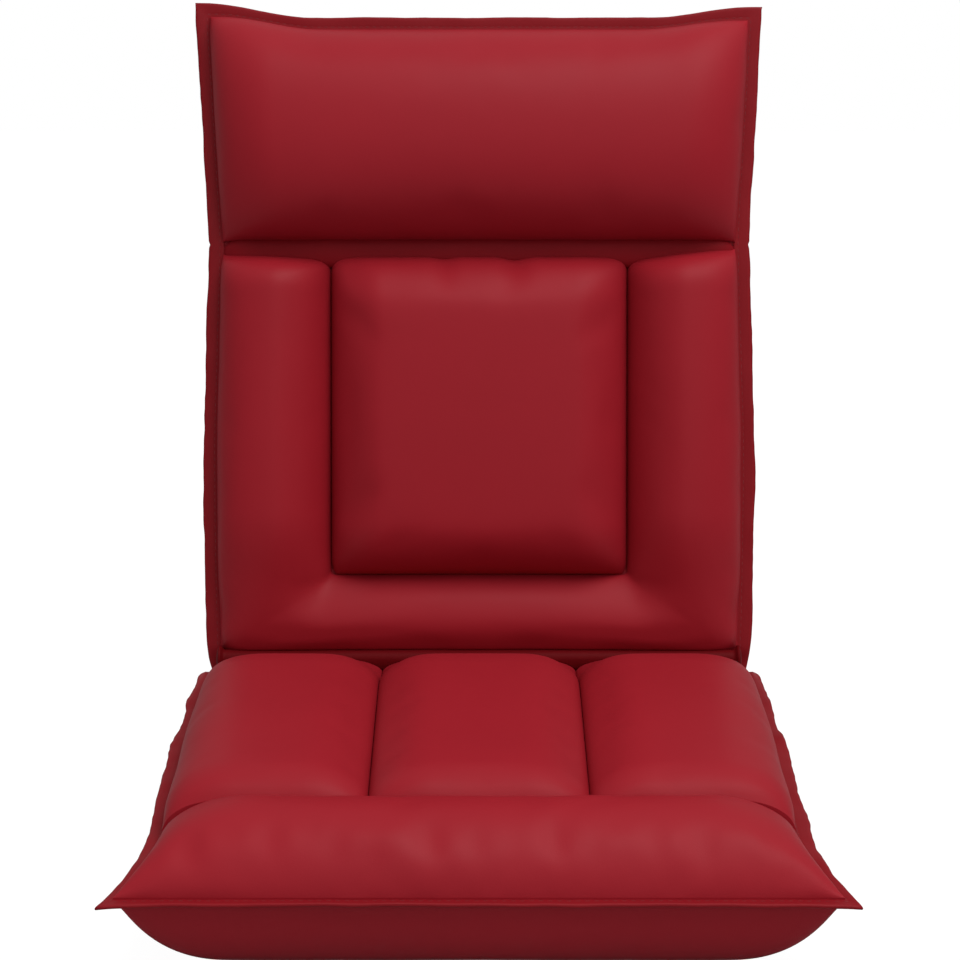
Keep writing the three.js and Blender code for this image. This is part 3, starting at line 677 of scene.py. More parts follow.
@dataclass(frozen=True)
class SeamRoll:
    """The rolled cloth that closes a fold from side to side."""

    name: str
    lie: Lie
    along: float
    rise: float
    half: float
    tall: float
    deep: float
    cap: float
    power: float = 2.0
    skirt: float = 0.0
    flare: float = 0.0
    flare_width: float = 0.0075
    flare_rise: float = 0.0040
    tip: float = 0.08
    uneven: float = 0.02
    uneven_pitch: float = 0.030

    def build(self) -> bpy.types.Object:
        """Makes the roll.

        Returns:
            The closed mesh object, where it is at rest.
        """
        stations, sides = 150, 32
        rings = []
        for k in range(stations + 1):
            x = -self.half * math.cos(math.pi * k / stations)
            scale = max(round_share((self.half - abs(x)) / self.cap), self.tip)
            scale *= 1 + self.flare * ease((abs(x) - self.half + self.flare_width) / self.flare_rise)
            scale *= 1 + self.uneven * ripple(x, 1.0, self.uneven_pitch, 4.0)
            ring = []
            for i in range(sides):
                angle = 2 * math.pi * (i + 0.5) / sides
                c, s = math.cos(angle), math.sin(angle)
                wide = self.deep * math.copysign(abs(c) ** (2 / self.power), c)
                high = self.tall * math.copysign(abs(s) ** (2 / self.power), s)
                if c < 0 and s < 0:
                    high -= self.skirt * ease(-4 * s)
                ring.append((x, self.along + wide * scale, self.rise + high * scale))
            rings.append(ring)
        return tube_between(self.name, self.lie, rings)


def webbing(name: str, lie: Lie, along: float) -> bpy.types.Object:
    """Makes a strap that lies over both side tubes and turns in under them.

    Args:
        name: Name of the new piece.
        lie: Whether it lies with the seat or with the back.
        along: Distance of its middle from the crease.

    Returns:
        The closed mesh object, where it is at rest.
    """
    half_width, thick, tail = 0.021, 0.0012, 0.010
    inner = CHAIR.tube_radius + 0.0003
    middle = inner + thick / 2
    path: list[tuple[Flat, Flat]] = []
    turn_steps, level_steps = 14, 24
    for k in range(turn_steps + 1):
        angle = math.pi * 1.5 - math.pi * k / turn_steps
        way = (math.cos(angle), math.sin(angle))
        path.append(((-CHAIR.frame_half + middle * way[0], CHAIR.tube_axis + middle * way[1]), way))
    for k in range(1, level_steps):
        x = -CHAIR.frame_half + 2 * CHAIR.frame_half * k / level_steps
        path.append(((x, CHAIR.tube_axis + middle), (0.0, 1.0)))
    path += [((-x, z), (-nx, nz)) for (x, z), (nx, nz) in reversed(path[: turn_steps + 1])]
    low = CHAIR.tube_axis - middle
    path.insert(0, ((-CHAIR.frame_half + tail, low), (0.0, -1.0)))
    path.append(((CHAIR.frame_half - tail, low), (0.0, -1.0)))
    section = [
        (-1.0, -0.5), (-1.0, 0.5), (-0.9, 0.8), (-0.8, 0.5),
        (0.8, 0.5), (0.9, 0.8), (1.0, 0.5), (1.0, -0.5),
    ]
    rings = []
    for (x, z), (nx, nz) in path:
        rings.append([
            (x + nx * thick * 0.62 * h, along + half_width * w, z + nz * thick * 0.62 * h) for w, h in section
        ])
    return tube_between(name, lie, rings)


@dataclass(frozen=True)
class FoamSlab:
    """A slab of foam inside a frame, dented where the webbing presses on it."""

    name: str
    lie: Lie
    start: float
    end: float
    dents: Sequence[float]
    chamfer_low: float = 0.0
    chamfer_high: float = 0.0
    half: float = 0.2050
    low: float = 0.0475
    high: float = 0.0684
    rounding: float = 0.004
    edge_reach: float = 0.006
    dent_depth: float = 0.0016
    dent_reach: float = 0.020

    def edge_drop(self, inside: float) -> float:
        """How far the slab's long edge is rounded down, at a distance inside it."""
        return self.rounding * (1 - round_share(inside / self.edge_reach))

    def build(self) -> bpy.types.Object:
        """Makes the slab.

        Returns:
            The closed mesh object, where it is at rest.
        """
        columns, rows = 44, 30
        rings = []
        for j in range(rows + 1):
            share = j / rows
            along = self.start + (self.end - self.start) * share
            cut = max(
                self.chamfer_low - (along - self.start), self.chamfer_high - (self.end - along), 0.0
            )
            soft = self.rounding * (1 - round_share(min(share, 1 - share) / 0.04))
            dent = sum(
                self.dent_depth * math.exp(-(((along - d) / self.dent_reach) ** 4)) for d in self.dents
            )
            ring = []
            width = self.half - cut - soft
            for i in range(columns + 1):
                x = width * (2 * i / columns - 1)
                ring.append((x, along, self.high - dent - self.edge_drop(width - abs(x)) - soft))
            for i in range(columns + 1):
                x = width * (1 - 2 * i / columns)
                ring.append((x, along, self.low + self.edge_drop(width - abs(x)) + soft))
            rings.append(ring)
        return tube_between(self.name, self.lie, rings)


class Group:
    """A shader node group with named sockets."""

    def __init__(self, name: str) -> None:
        """Starts an empty group with an input and an output.

        Args:
            name: The group's name.
        """
        self.tree = bpy.data.node_groups.new(name, "ShaderNodeTree")
        self.source = self.tree.nodes.new("NodeGroupInput")
        self.sink = self.tree.nodes.new("NodeGroupOutput")

    def takes(self, name: str, kind: str, value: float | None = None) -> None:
        """Adds an input socket.

        Args:
            name: The socket's name.
            kind: Its type.
            value: What it holds until something is linked to it, or None.
        """
        socket = self.tree.interface.new_socket(name=name, in_out="INPUT", socket_type=kind)
        if value is not None:
            socket.default_value = value

    def gives(self, name: str, kind: str) -> None:
        """Adds an output socket."""
        self.tree.interface.new_socket(name=name, in_out="OUTPUT", socket_type=kind)


def node(tree: bpy.types.NodeTree, kind: str, **values: object) -> bpy.types.Node:
    """Adds a node and sets its options and inputs by name.

    Args:
        tree: The node tree to add to.
        kind: The node's type.
        values: Options of the node; a name that the node has no option for names an input, with
            underscores for spaces. A value that is a socket is linked.

    Returns:
        The new node.
    """
    made = tree.nodes.new(kind)
    for key, value in values.items():
        if hasattr(made, key):
            setattr(made, key, value)
            continue
        name = key.replace("_", " ").strip()
        index = int(name[1:]) if name[0] == "i" and name[1:].isdigit() else name
        socket = made.inputs[index]
        if isinstance(value, bpy.types.NodeSocket):
            tree.links.new(value, socket)
        else:
            socket.default_value = value
    return made


def grain_group() -> bpy.types.NodeTree:
    """Builds the embossed grain that the covers, flanges and rolled seams share.

    Returns:
        The group's tree.
    """
    group = Group("embossed_grain")
    group.takes("Vector", "NodeSocketVector")
    group.takes("Scale", "NodeSocketFloat", 900.0)
    group.takes("Crease Scale", "NodeSocketFloat", 26.0)
    group.gives("Height", "NodeSocketFloat")
    group.gives("Creases", "NodeSocketFloat")
    group.gives("Tone", "NodeSocketFloat")
    tree, source, sink = group.tree, group.source, group.sink
    link = tree.links.new
    cells = node(tree, "ShaderNodeTexVoronoi", feature="SMOOTH_F1", Vector=source.outputs["Vector"],
                 Scale=source.outputs["Scale"], Smoothness=0.35)
    cloud = node(tree, "ShaderNodeTexNoise", Vector=source.outputs["Vector"], Detail=3.0, Roughness=0.6)
    link(source.outputs["Scale"], cloud.inputs["Scale"])
    grain = node(tree, "ShaderNodeMath", operation="MULTIPLY_ADD", i0=cloud.outputs[0], i1=0.5,
                 i2=cells.outputs["Distance"])
    link(grain.outputs[0], sink.inputs["Height"])
    bent = node(tree, "ShaderNodeTexNoise", Vector=source.outputs["Vector"], Detail=1.0, Roughness=0.4,
                Distortion=0.4)
    link(source.outputs["Crease Scale"], bent.inputs["Scale"])
    link(bent.outputs[0], sink.inputs["Creases"])
    tone = node(tree, "ShaderNodeTexNoise", Vector=source.outputs["Vector"], Scale=7.0, Detail=4.0,
                Roughness=0.55)
    link(tone.outputs[0], sink.inputs["Tone"])
    return tree


def brushed_group() -> bpy.types.NodeTree:
    """Builds the fine lines and spots that the plated and the spring steel share.

    Returns:
        The group's tree.
    """
    group = Group("brushed_lines")
    group.takes("Vector", "NodeSocketVector")
    group.gives("Lines", "NodeSocketFloat")
    group.gives("Spots", "NodeSocketFloat")
    tree, source, sink = group.tree, group.source, group.sink
    drawn = node(tree, "ShaderNodeMapping", Vector=source.outputs["Vector"], Scale=(60.0, 60.0, 2600.0))
    lines = node(tree, "ShaderNodeTexNoise", Vector=drawn.outputs[0], Scale=1.0, Detail=3.0)
    spots = node(tree, "ShaderNodeTexNoise", Vector=source.outputs["Vector"], Scale=180.0, Detail=4.0)
    tree.links.new(lines.outputs[0], sink.inputs["Lines"])
    tree.links.new(spots.outputs[0], sink.inputs["Spots"])
    return tree


@dataclass
class SharedGroups:
    """The shader node groups, built once."""

    grain: bpy.types.NodeTree
    brushed: bpy.types.NodeTree


SHARED = SharedGroups(grain_group(), brushed_group())
Colour = tuple[float, float, float]


def start_material(
    name: str,
) -> tuple[bpy.types.Material, bpy.types.NodeTree, bpy.types.Node, bpy.types.NodeSocket]:
    """Makes a material with one Principled shader.

    Args:
        name: The material's name.

    Returns:
        The material, its tree, the shader, and the socket with the piece's own coordinates.
    """
    material = bpy.data.materials.new(name)
    material.use_nodes = True
    tree = material.node_tree
    shader = tree.nodes["Principled BSDF"]
    place = tree.nodes.new("ShaderNodeTexCoord").outputs["Object"]
    return material, tree, shader, place


def shade(colour: Colour, factor: float) -> tuple[float, float, float, float]:
    """A colour made darker or lighter, with full alpha."""
    return (colour[0] * factor, colour[1] * factor, colour[2] * factor, 1.0)


@dataclass(frozen=True)
class CoatedLeather:
    """Smooth coated leather with a fine embossed grain, soft creases and a broad sheen."""

    name: str
    colour: Colour = (0.320, 0.0115, 0.0202)
    roughness: float = 0.50
    shine: float = 0.13
    grain: float = 0.10
    creases: float = 0.12

    def build(self) -> bpy.types.Material:
        """Makes the material.

        Returns:
            The new material.
        """
        material, tree, shader, place = start_material(self.name)
        link = tree.links.new
        surface = tree.nodes.new("ShaderNodeGroup")
        surface.node_tree = SHARED.grain
        link(place, surface.inputs["Vector"])
        tint = node(tree, "ShaderNodeMix", data_type="RGBA")
        tint.inputs["A"].default_value = shade(self.colour, 0.93)
        tint.inputs["B"].default_value = shade(self.colour, 1.06)
        link(surface.outputs["Tone"], tint.inputs["Factor"])
        link(tint.outputs["Result"], shader.inputs["Base Color"])
        gloss = node(tree, "ShaderNodeMapRange", i0=surface.outputs["Tone"], i1=0.3, i2=0.7,
                     i3=self.roughness - 0.03, i4=self.roughness + 0.04)
        link(gloss.outputs[0], shader.inputs["Roughness"])
        broad = node(tree, "ShaderNodeBump", Strength=self.creases, Distance=0.002,
                     Height=surface.outputs["Creases"])
        fine = node(tree, "ShaderNodeBump", Strength=self.grain, Distance=0.0004,
                    Height=surface.outputs["Height"], Normal=broad.outputs[0])
        link(fine.outputs[0], shader.inputs["Normal"])
        shader.inputs["Specular IOR Level"].default_value = self.shine
        return material


@dataclass(frozen=True)
class Thread:
    """Twisted sewing thread."""

    name: str = "sewing_thread"
    colour: Colour = (0.20, 0.0062, 0.011)

    def build(self) -> bpy.types.Material:
        """Makes the material.

        Returns:
            The new material.
        """
        material, tree, shader, place = start_material(self.name)
        twist = node(tree, "ShaderNodeTexWave", Vector=place, Scale=900.0, Distortion=0.6,
                     bands_direction="DIAGONAL")
        tint = node(tree, "ShaderNodeMix", data_type="RGBA")
        tint.inputs["A"].default_value = shade(self.colour, 0.8)
        tint.inputs["B"].default_value = shade(self.colour, 1.2)
        tree.links.new(twist.outputs["Fac"], tint.inputs["Factor"])
        tree.links.new(tint.outputs["Result"], shader.inputs["Base Color"])
        bump = node(tree, "ShaderNodeBump", Strength=0.5, Distance=0.0002, Height=twist.outputs["Fac"])
        tree.links.new(bump.outputs[0], shader.inputs["Normal"])
        shader.inputs["Roughness"].default_value = 0.6
        return material


@dataclass(frozen=True)
class OpenFoam:
    """Cream upholstery foam with open pores."""

    name: str = "upholstery_foam"
    colour: Colour = (0.80, 0.72, 0.50)

    def build(self) -> bpy.types.Material:
        """Makes the material.

        Returns:
            The new material.
        """
        material, tree, shader, place = start_material(self.name)
        pores = node(tree, "ShaderNodeTexVoronoi", Vector=place, Scale=650.0)
        tint = node(tree, "ShaderNodeMix", data_type="RGBA")
        tint.inputs["A"].default_value = shade(self.colour, 0.75)
        tint.inputs["B"].default_value = shade(self.colour, 1.05)
        tree.links.new(pores.outputs["Distance"], tint.inputs["Factor"])
        tree.links.new(tint.outputs["Result"], shader.inputs["Base Color"])
        bump = node(tree, "ShaderNodeBump", Strength=0.5, Distance=0.0006, Height=pores.outputs["Distance"])
        tree.links.new(bump.outputs[0], shader.inputs["Normal"])
        shader.inputs["Roughness"].default_value = 0.95
        return material


@dataclass(frozen=True)
class WovenTape:
    """Black polypropylene webbing in a plain weave."""

    name: str = "woven_tape"
    colour: Colour = (0.035, 0.035, 0.04)

    def build(self) -> bpy.types.Material:
        """Makes the material.

        Returns:
            The new material.
        """
        material, tree, shader, place = start_material(self.name)
        across = node(tree, "ShaderNodeTexWave", Vector=place, Scale=260.0, bands_direction="X")
        along = node(tree, "ShaderNodeTexWave", Vector=place, Scale=260.0, bands_direction="Y")
        weave = node(tree, "ShaderNodeMath", operation="MULTIPLY", i0=across.outputs["Fac"],
                     i1=along.outputs["Fac"])
        tint = node(tree, "ShaderNodeMix", data_type="RGBA")
        tint.inputs["A"].default_value = shade(self.colour, 0.6)
        tint.inputs["B"].default_value = shade(self.colour, 1.5)
        tree.links.new(weave.outputs[0], tint.inputs["Factor"])
        tree.links.new(tint.outputs["Result"], shader.inputs["Base Color"])
        bump = node(tree, "ShaderNodeBump", Strength=0.6, Distance=0.0004, Height=weave.outputs[0])
        tree.links.new(bump.outputs[0], shader.inputs["Normal"])
        shader.inputs["Roughness"].default_value = 0.8
        return material


@dataclass(frozen=True)
class PowderCoat:
    """Black powder coat with a faint orange peel."""

    name: str = "powder_coat"
    colour: Colour = (0.022, 0.022, 0.025)

    def build(self) -> bpy.types.Material:
        """Makes the material.

        Returns:
            The new material.
        """
        material, tree, shader, place = start_material(self.name)
        peel = node(tree, "ShaderNodeTexNoise", Vector=place, Scale=420.0, Detail=2.0)
        tint = node(tree, "ShaderNodeMix", data_type="RGBA")
        tint.inputs["A"].default_value = shade(self.colour, 0.8)
        tint.inputs["B"].default_value = shade(self.colour, 1.3)
        tree.links.new(peel.outputs[0], tint.inputs["Factor"])
        tree.links.new(tint.outputs["Result"], shader.inputs["Base Color"])
        bump = node(tree, "ShaderNodeBump", Strength=0.25, Distance=0.0003, Height=peel.outputs[0])
        tree.links.new(bump.outputs[0], shader.inputs["Normal"])
        shader.inputs["Roughness"].default_value = 0.42
        return material


@dataclass(frozen=True)
class BrushedSteel:
    """Steel with drawn lines: bright zinc plate, or darker spring steel."""

    name: str
    colour: Colour
    roughness: float

    def build(self) -> bpy.types.Material:
        """Makes the material.

        Returns:
            The new material.
        """
        material, tree, shader, place = start_material(self.name)
        link = tree.links.new
        drawn = tree.nodes.new("ShaderNodeGroup")
        drawn.node_tree = SHARED.brushed
        link(place, drawn.inputs["Vector"])
        tint = node(tree, "ShaderNodeMix", data_type="RGBA")
        tint.inputs["A"].default_value = shade(self.colour, 0.85)
        tint.inputs["B"].default_value = shade(self.colour, 1.1)
        link(drawn.outputs["Spots"], tint.inputs["Factor"])
        link(tint.outputs["Result"], shader.inputs["Base Color"])
        gloss = node(tree, "ShaderNodeMapRange", i0=drawn.outputs["Lines"], i1=0.3, i2=0.7,
                     i3=self.roughness - 0.06, i4=self.roughness + 0.10)
        link(gloss.outputs[0], shader.inputs["Roughness"])
        bump = node(tree, "ShaderNodeBump", Strength=0.12, Distance=0.0002, Height=drawn.outputs["Lines"])
        link(bump.outputs[0], shader.inputs["Normal"])
        shader.inputs["Metallic"].default_value = 1.0
        return material


@dataclass
class Finishes:
    """The chair's materials, made once."""

    cover: bpy.types.Material
    under: bpy.types.Material
    # flange, seam and fold are darker, less shiny copies of the cover leather: painted shade for the flanges
    # beside the pads, the band under the headrest and the crease
    flange: bpy.types.Material
    seam: bpy.types.Material
    fold: bpy.types.Material
    thread: bpy.types.Material
    foam: bpy.types.Material
    tape: bpy.types.Material
    paint: bpy.types.Material
    zinc: bpy.types.Material
    spring: bpy.types.Material

    @classmethod
    def make(cls) -> "Finishes":
        """Builds every material.

        Returns:
            All of them, by their use.
        """
        return cls(
            cover=CoatedLeather("coated_leather").build(),
            under=CoatedLeather("coated_leather_under", grain=0.14).build(),
            # The cover leather made darker, with a little less shine: painted shade for the flanges beside
            # the pads
            flange=CoatedLeather(
                "coated_leather_edge_painted_shade", (0.235, 0.0066, 0.0115), shine=0.12, creases=0.2
            ).build(),
            # The cover leather made darker and almost without shine: painted shade for the band under the
            # headrest's pillow
            seam=CoatedLeather("coated_leather_seam_painted_shade", (0.210, 0.0055, 0.0100), shine=0.06).build(),
            # The cover leather made darkest and almost without shine: painted shade for the fold at the
            # crease
            fold=CoatedLeather("coated_leather_fold_painted_shade", (0.120, 0.0030, 0.0050), shine=0.04).build(),
            thread=Thread().build(),
            foam=OpenFoam().build(),
            tape=WovenTape().build(),
            paint=PowderCoat().build(),
            zinc=BrushedSteel("zinc_plated_steel", (0.62, 0.63, 0.64), 0.34).build(),
            spring=BrushedSteel("blued_spring_steel", (0.30, 0.31, 0.34), 0.30).build(),
        )


class Fit(Enum):
    """Kinds of piece: padded or plain."""

    PADDED = "padded"
    PLAIN = "plain"


def settle(
    made: bpy.types.Object, material: bpy.types.Material, nodes: Sequence[str]
) -> bpy.types.Object:
    """Dresses a new piece and hides the CAD nodes that it replaces.

    Args:
        made: The piece, where it is at rest.
        material: Its finish.
        nodes: The nodes that it replaces.

    Returns:
        The same piece.
    """
    made.data.materials.clear()
    made.data.materials.append(material)
    if nodes:
        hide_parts(*nodes)
    log.info("%s: %d faces", made.name, len(made.data.polygons))
    return made


@dataclass
class SeatAssembly:
    """The seat: three channels, the front roll, the underside, the flange and what is inside."""

    finishes: Finishes
    front: float = 0.494
    crest: float = 0.0520
    groove: float = 0.0260
    groove_spread: float = 0.050
    edge_spread: float = 0.060
    wedge: float = math.radians(20.5)
    wedge_start: float = 0.0137
    crease_clear: float = 0.009
    roll_rear: float = 0.395
    roll_crest: float = 0.0490
    roll_valley: float = 0.033
    roll_spread: float = 0.074
    roll_split: float = 0.60
    roll_width: float = 0.512
    roll_height: float = 0.045
    shell_width: float = 0.51
    groove_rear: float = 0.093
    groove_lean: float = 0.007
    channel_width: float = 0.18
    channel_height: float = 0.035
    channel_fall: float = 0.034
    side_bulge: float = 0.007
    pucker: float = 0.10
    pucker_depth: float = 0.019
    strap_depths: Sequence[float] = (0.15015, 0.25025, 0.35035)

    def groove_at(self, depth: float | np.ndarray) -> float | np.ndarray:
        """Half width of the middle channel at a distance from the crease."""
        return self.groove_rear - self.groove_lean * depth / self.roll_rear

    def crown(self, depth: float) -> float:
        """Finds the height of the channels' crowns.

        Args:
            depth: Distance from the crease.

        Returns:
            The height above the pads' base.
        """
        rise = self.crest - self.roll_valley
        front = self.roll_valley + rise * round_share((self.roll_rear - depth) / self.channel_fall)
        rear = self.wedge_start + depth * math.tan(self.wedge)
        return soft_min(front, rear, 0.010)

    def channel(self, side: int) -> Panel:
        """Draws one channel.

        Args:
            side: 1 for the sitter's left, 0 for the middle, -1 for the right.

        Returns:
            The panel, drawn flat.
        """
        rear, fore = self.crease_clear, self.roll_rear - 0.0005
        gap = 0.00025

        def edges(depth: float) -> Flat:
            """The channel's inner and outer edges at a distance from the crease."""
            seam = self.groove_at(depth)
            return (-seam + gap, seam - gap) if side == 0 else (seam + gap, SEAT_SEAM(depth))

        outer_spread = self.groove_spread if side == 0 else self.edge_spread
        columns, rows = 40, 76
        width = self.channel_width
        places = spaced(columns, width, self.groove_spread, outer_spread, self.channel_height)
        shares = [p / width for p in places]

        def surface(u: float, v: float) -> Point:
            """Finds a point of the channel's top.

            Args:
                u: Share of the way across the panel's grid.
                v: Share of the way along it.

            Returns:
                The point, drawn flat.
            """
            depth = rear + (fore - rear) * v
            inner, outer = edges(depth)
            x = inner + (outer - inner) * shares[round(u * columns)]
            crown = self.crown(depth)
            valley = max(crown - self.groove, CHAIR.pad_edge)
            seam = self.groove_at(depth)
            dip = round_share(abs(seam - abs(x)) / self.groove_spread, 1.9)
            body = valley + (crown - valley) * dip
            if side != 0:
                edge = (outer - x) / self.edge_spread
                fall = round_share(edge, 2.4)
                body = CHAIR.pad_edge + (body - CHAIR.pad_edge) * fall
                bulge = self.side_bulge * fall * max(1 - edge, 0.0) ** 2
                x += bulge * ease(depth / 0.05) * ease((fore - depth) / 0.03)
            way = side if side != 0 else 1
            return (way * x, -depth, CHAIR.pad_base + body)

        def keep(points: np.ndarray) -> np.ndarray:
            """Holds the channel between its grooves.

            Args:
                points: The moved points, drawn flat. They are changed in place.

            Returns:
                The same rows.
            """
            depth = np.clip(-points[:, 1], rear, fore)
            seam = self.groove_at(depth)
            points[:, 1] = -depth
            if side == 0:
                points[:, 0] = np.clip(points[:, 0], -seam + gap, seam - gap)
            else:
                points[:, 0] = side * np.maximum(side * points[:, 0], seam + gap)
            return points

        def freedom(points: np.ndarray) -> np.ndarray:
            """Lets the channel swell less beside its grooves."""
            seam = self.groove_at(np.clip(-points[:, 1], rear, fore))
            return near_seam(np.abs(seam - np.abs(points[:, 0])), 0.022, 0.1)

        label = {1: "left", 0: "middle", -1: "right"}[side]
        return Panel(
            f"seat_channel_cover_{label}", Lie.SEAT, columns, rows, surface, CHAIR.pad_base,
            Stuffing(cap=0.003, slack=0.006), keep, freedom,
        )

    def roll(self) -> Panel:
        """Draws the roll across the front of the seat.

        Returns:
            The panel, drawn flat.
        """
        columns, rows = 104, 30
        deep = self.front - self.roll_rear
        fore_part, rear_part = deep * self.roll_split, deep * 0.40
        along = spaced(rows, deep, fore_part, rear_part, self.roll_crest)
        places = spaced(columns, self.roll_width, self.roll_spread, self.roll_spread, self.roll_height)
        across = [p / self.roll_width for p in places]

        def surface(u: float, v: float) -> Point:
            """Finds a point of the roll's top, with soft puckers low on its front.

            Args:
                u: Share of the way across the panel's grid.
                v: Share of the way along it.

            Returns:
                The point, drawn flat.
            """
            start = along[round(v * rows)]
            depth = self.front - start
            half = SEAT_SEAM(depth)
            x = half * (2 * across[round(u * columns)] - 1)
            rear = start > fore_part
            low = self.roll_valley if rear else CHAIR.pad_edge
            gather = math.exp(-(((start - self.pucker_depth) / 0.015) ** 2))
            gather *= 1 - ease((abs(x) - 0.21) / 0.03)
            turn = (deep - start) / rear_part if rear else start / fore_part
            body = low + (self.roll_crest - low) * round_share(turn, 2.1 if rear else 1.9)
            ends = round_share((half - abs(x)) / self.roll_spread, 1.9)
            height = CHAIR.pad_edge + (body - CHAIR.pad_edge) * ends
            height *= 1 + self.pucker * gather * ripple(x, start * 0.4, 0.022, 61.0)
            return (x, -depth, CHAIR.pad_base + height)

        def keep(points: np.ndarray) -> np.ndarray:
            """Holds the roll in front of the channels."""
            points[:, 1] = np.minimum(points[:, 1], -self.roll_rear)
            return points

        return Panel(
            "seat_front_roll_cover", Lie.SEAT, columns, rows, surface, CHAIR.pad_base,
            Stuffing(cap=0.005, slack=0.010), keep,
        )

    def underside(self) -> Panel:
        """Draws the lower cushion, flat where it lies on the floor.

        Returns:
            The panel, drawn flat.
        """
        columns, rows = 84, 72
        tuck, fore_tuck = CHAIR.shell_tuck + 0.004, CHAIR.shell_tuck - 0.006
        places = spaced(columns, self.shell_width, tuck, tuck, CHAIR.seam_plane)
        across = [p / self.shell_width for p in places]
        along = spaced(rows, self.front - 0.0003, fore_tuck, 0.0, CHAIR.seam_plane)

        def surface(u: float, v: float) -> Point:
            """Finds a point of the cushion's underside.

            Args:
                u: Share of the way across the panel's grid.
                v: Share of the way along it.

            Returns:
                The point, drawn flat.
            """
            start = along[round(v * rows)]
            depth = self.front - start
            half = SEAT_SEAM(depth)
            x = half * (1 - 2 * across[round(u * columns)])
            side = (half - abs(x)) / tuck
            fore = start / fore_tuck
            deep = CHAIR.seam_plane * round_share(side, 2.5) * round_share(fore, 2.2)
            return (x, -depth, CHAIR.seam_plane - deep)

        def keep(points: np.ndarray) -> np.ndarray:
            """Holds the cushion above the floor and in front of the crease.

            Args:
                points: The moved points, drawn flat. They are changed in place.

            Returns:
                The same rows.
            """
            points[:, 1] = np.minimum(points[:, 1], -0.0003)
            points[:, 2] = np.clip(points[:, 2], 0.0002, None)
            return points

        return Panel(
            "seat_underside_cover", Lie.SEAT, columns, rows, surface, CHAIR.seam_plane,
            Stuffing(cap=0.003, slack=0.01), keep,
        )

    def rim(self) -> Flange:
        """Draws the flange round both sides and the front.

        Returns:
            The flange.
        """
        free = Taper(
            (0.000, 0.2695), (0.130, 0.2677), (0.225, 0.2660), (0.300, 0.2612), (0.350, 0.2600),
            (0.390, 0.2580), (0.425, 0.2590), (0.4586, 0.2632), (0.480, 0.2690), (0.5065, 0.2748),
        )
        tip = 0.5065
        side: list[Station] = []
        steps = 150
        for k in range(steps):
            depth = 0.004 + (self.front - 0.004) * k / steps
            out = depth + (tip - self.front) * ease((depth - 0.43) / (self.front - 0.43))
            short = round_share(depth / 0.016)
            half = SEAT_SEAM(depth)
            edge = half + (free(out) - half) * short
            side.append(Station((half, -depth), (edge, -out), ease(depth / 0.05)))
        side.append(Station((SEAT_SEAM(self.front), -self.front), (free(tip), -tip), 0.3))
        front: list[Station] = []
        half = SEAT_SEAM(self.front)
        hem = 0.0075
        steps = 80
        for k in range(1, steps):
            share = 1 - 2 * k / steps
            out = self.front + hem + (tip - self.front - hem) * abs(share) ** 8
            front.append(Station((half * share, -self.front), (free(tip) * share, -out), 0.45))
        other = [Station((-s.seam[0], s.seam[1]), (-s.free[0], s.free[1]), s.wave) for s in reversed(side)]
        return Flange("seat_flange", Lie.SEAT, side + front + other, 11.0)

    def build(self) -> None:
        """Makes, dresses and places every piece of the seat."""
        f = self.finishes
        for side, label in ((1, "left"), (0, "middle"), (-1, "right")):
            pad = settle(self.channel(side).build(), f.cover, [f"seat_channel_{label}"])
            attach(pad, "seat")
        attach(settle(self.roll().build(), f.cover, ["seat_front_roll"]), "seat")
        lower = settle(self.underside().build(), f.under, ["seat_underside_cushion"])
        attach(lower, "seat")
        rim = self.rim()
        nodes = ["seat_welt_left", "seat_welt_right", "seat_welt_front"]
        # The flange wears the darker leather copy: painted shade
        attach(settle(rim.build(), f.flange, nodes), "seat")
        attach(settle(rim.stitches("seat_flange_stitches"), f.thread, []), "seat")
        roll = SeamRoll(
            "crease_seam_cover", Lie.SEAT, along=0.0, rise=CHAIR.crease_rise, half=0.2525,
            tall=0.0082, deep=0.0082, cap=0.003, skirt=0.0050, flare=0.55,
        )
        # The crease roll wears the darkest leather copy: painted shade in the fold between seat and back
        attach(settle(roll.build(), f.fold, ["crease_seam_roll"]), "seat")
        dents = [-depth for depth in self.strap_depths]
        slab = FoamSlab("seat_foam_slab", Lie.SEAT, -0.4433, -0.0850, dents, chamfer_low=0.0225)
        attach(settle(slab.build(), f.foam, ["seat_core_foam"]), "seat")
        for i, depth in enumerate(self.strap_depths, 1):
            strap = webbing(f"seat_webbing_{i}", Lie.SEAT, -depth)
            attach(settle(strap, f.tape, [f"seat_strap_{i}"]), "seat")


@dataclass(frozen=True)
class Pucker:
    """A place along an edge where the cover is drawn in."""

    place: float
    width: float
    depth: float

    def at(self, x: float) -> float:
        """How far the cover is drawn in, at a place along the edge."""
        return self.depth * math.exp(-(((x - self.place) / self.width) ** 2))


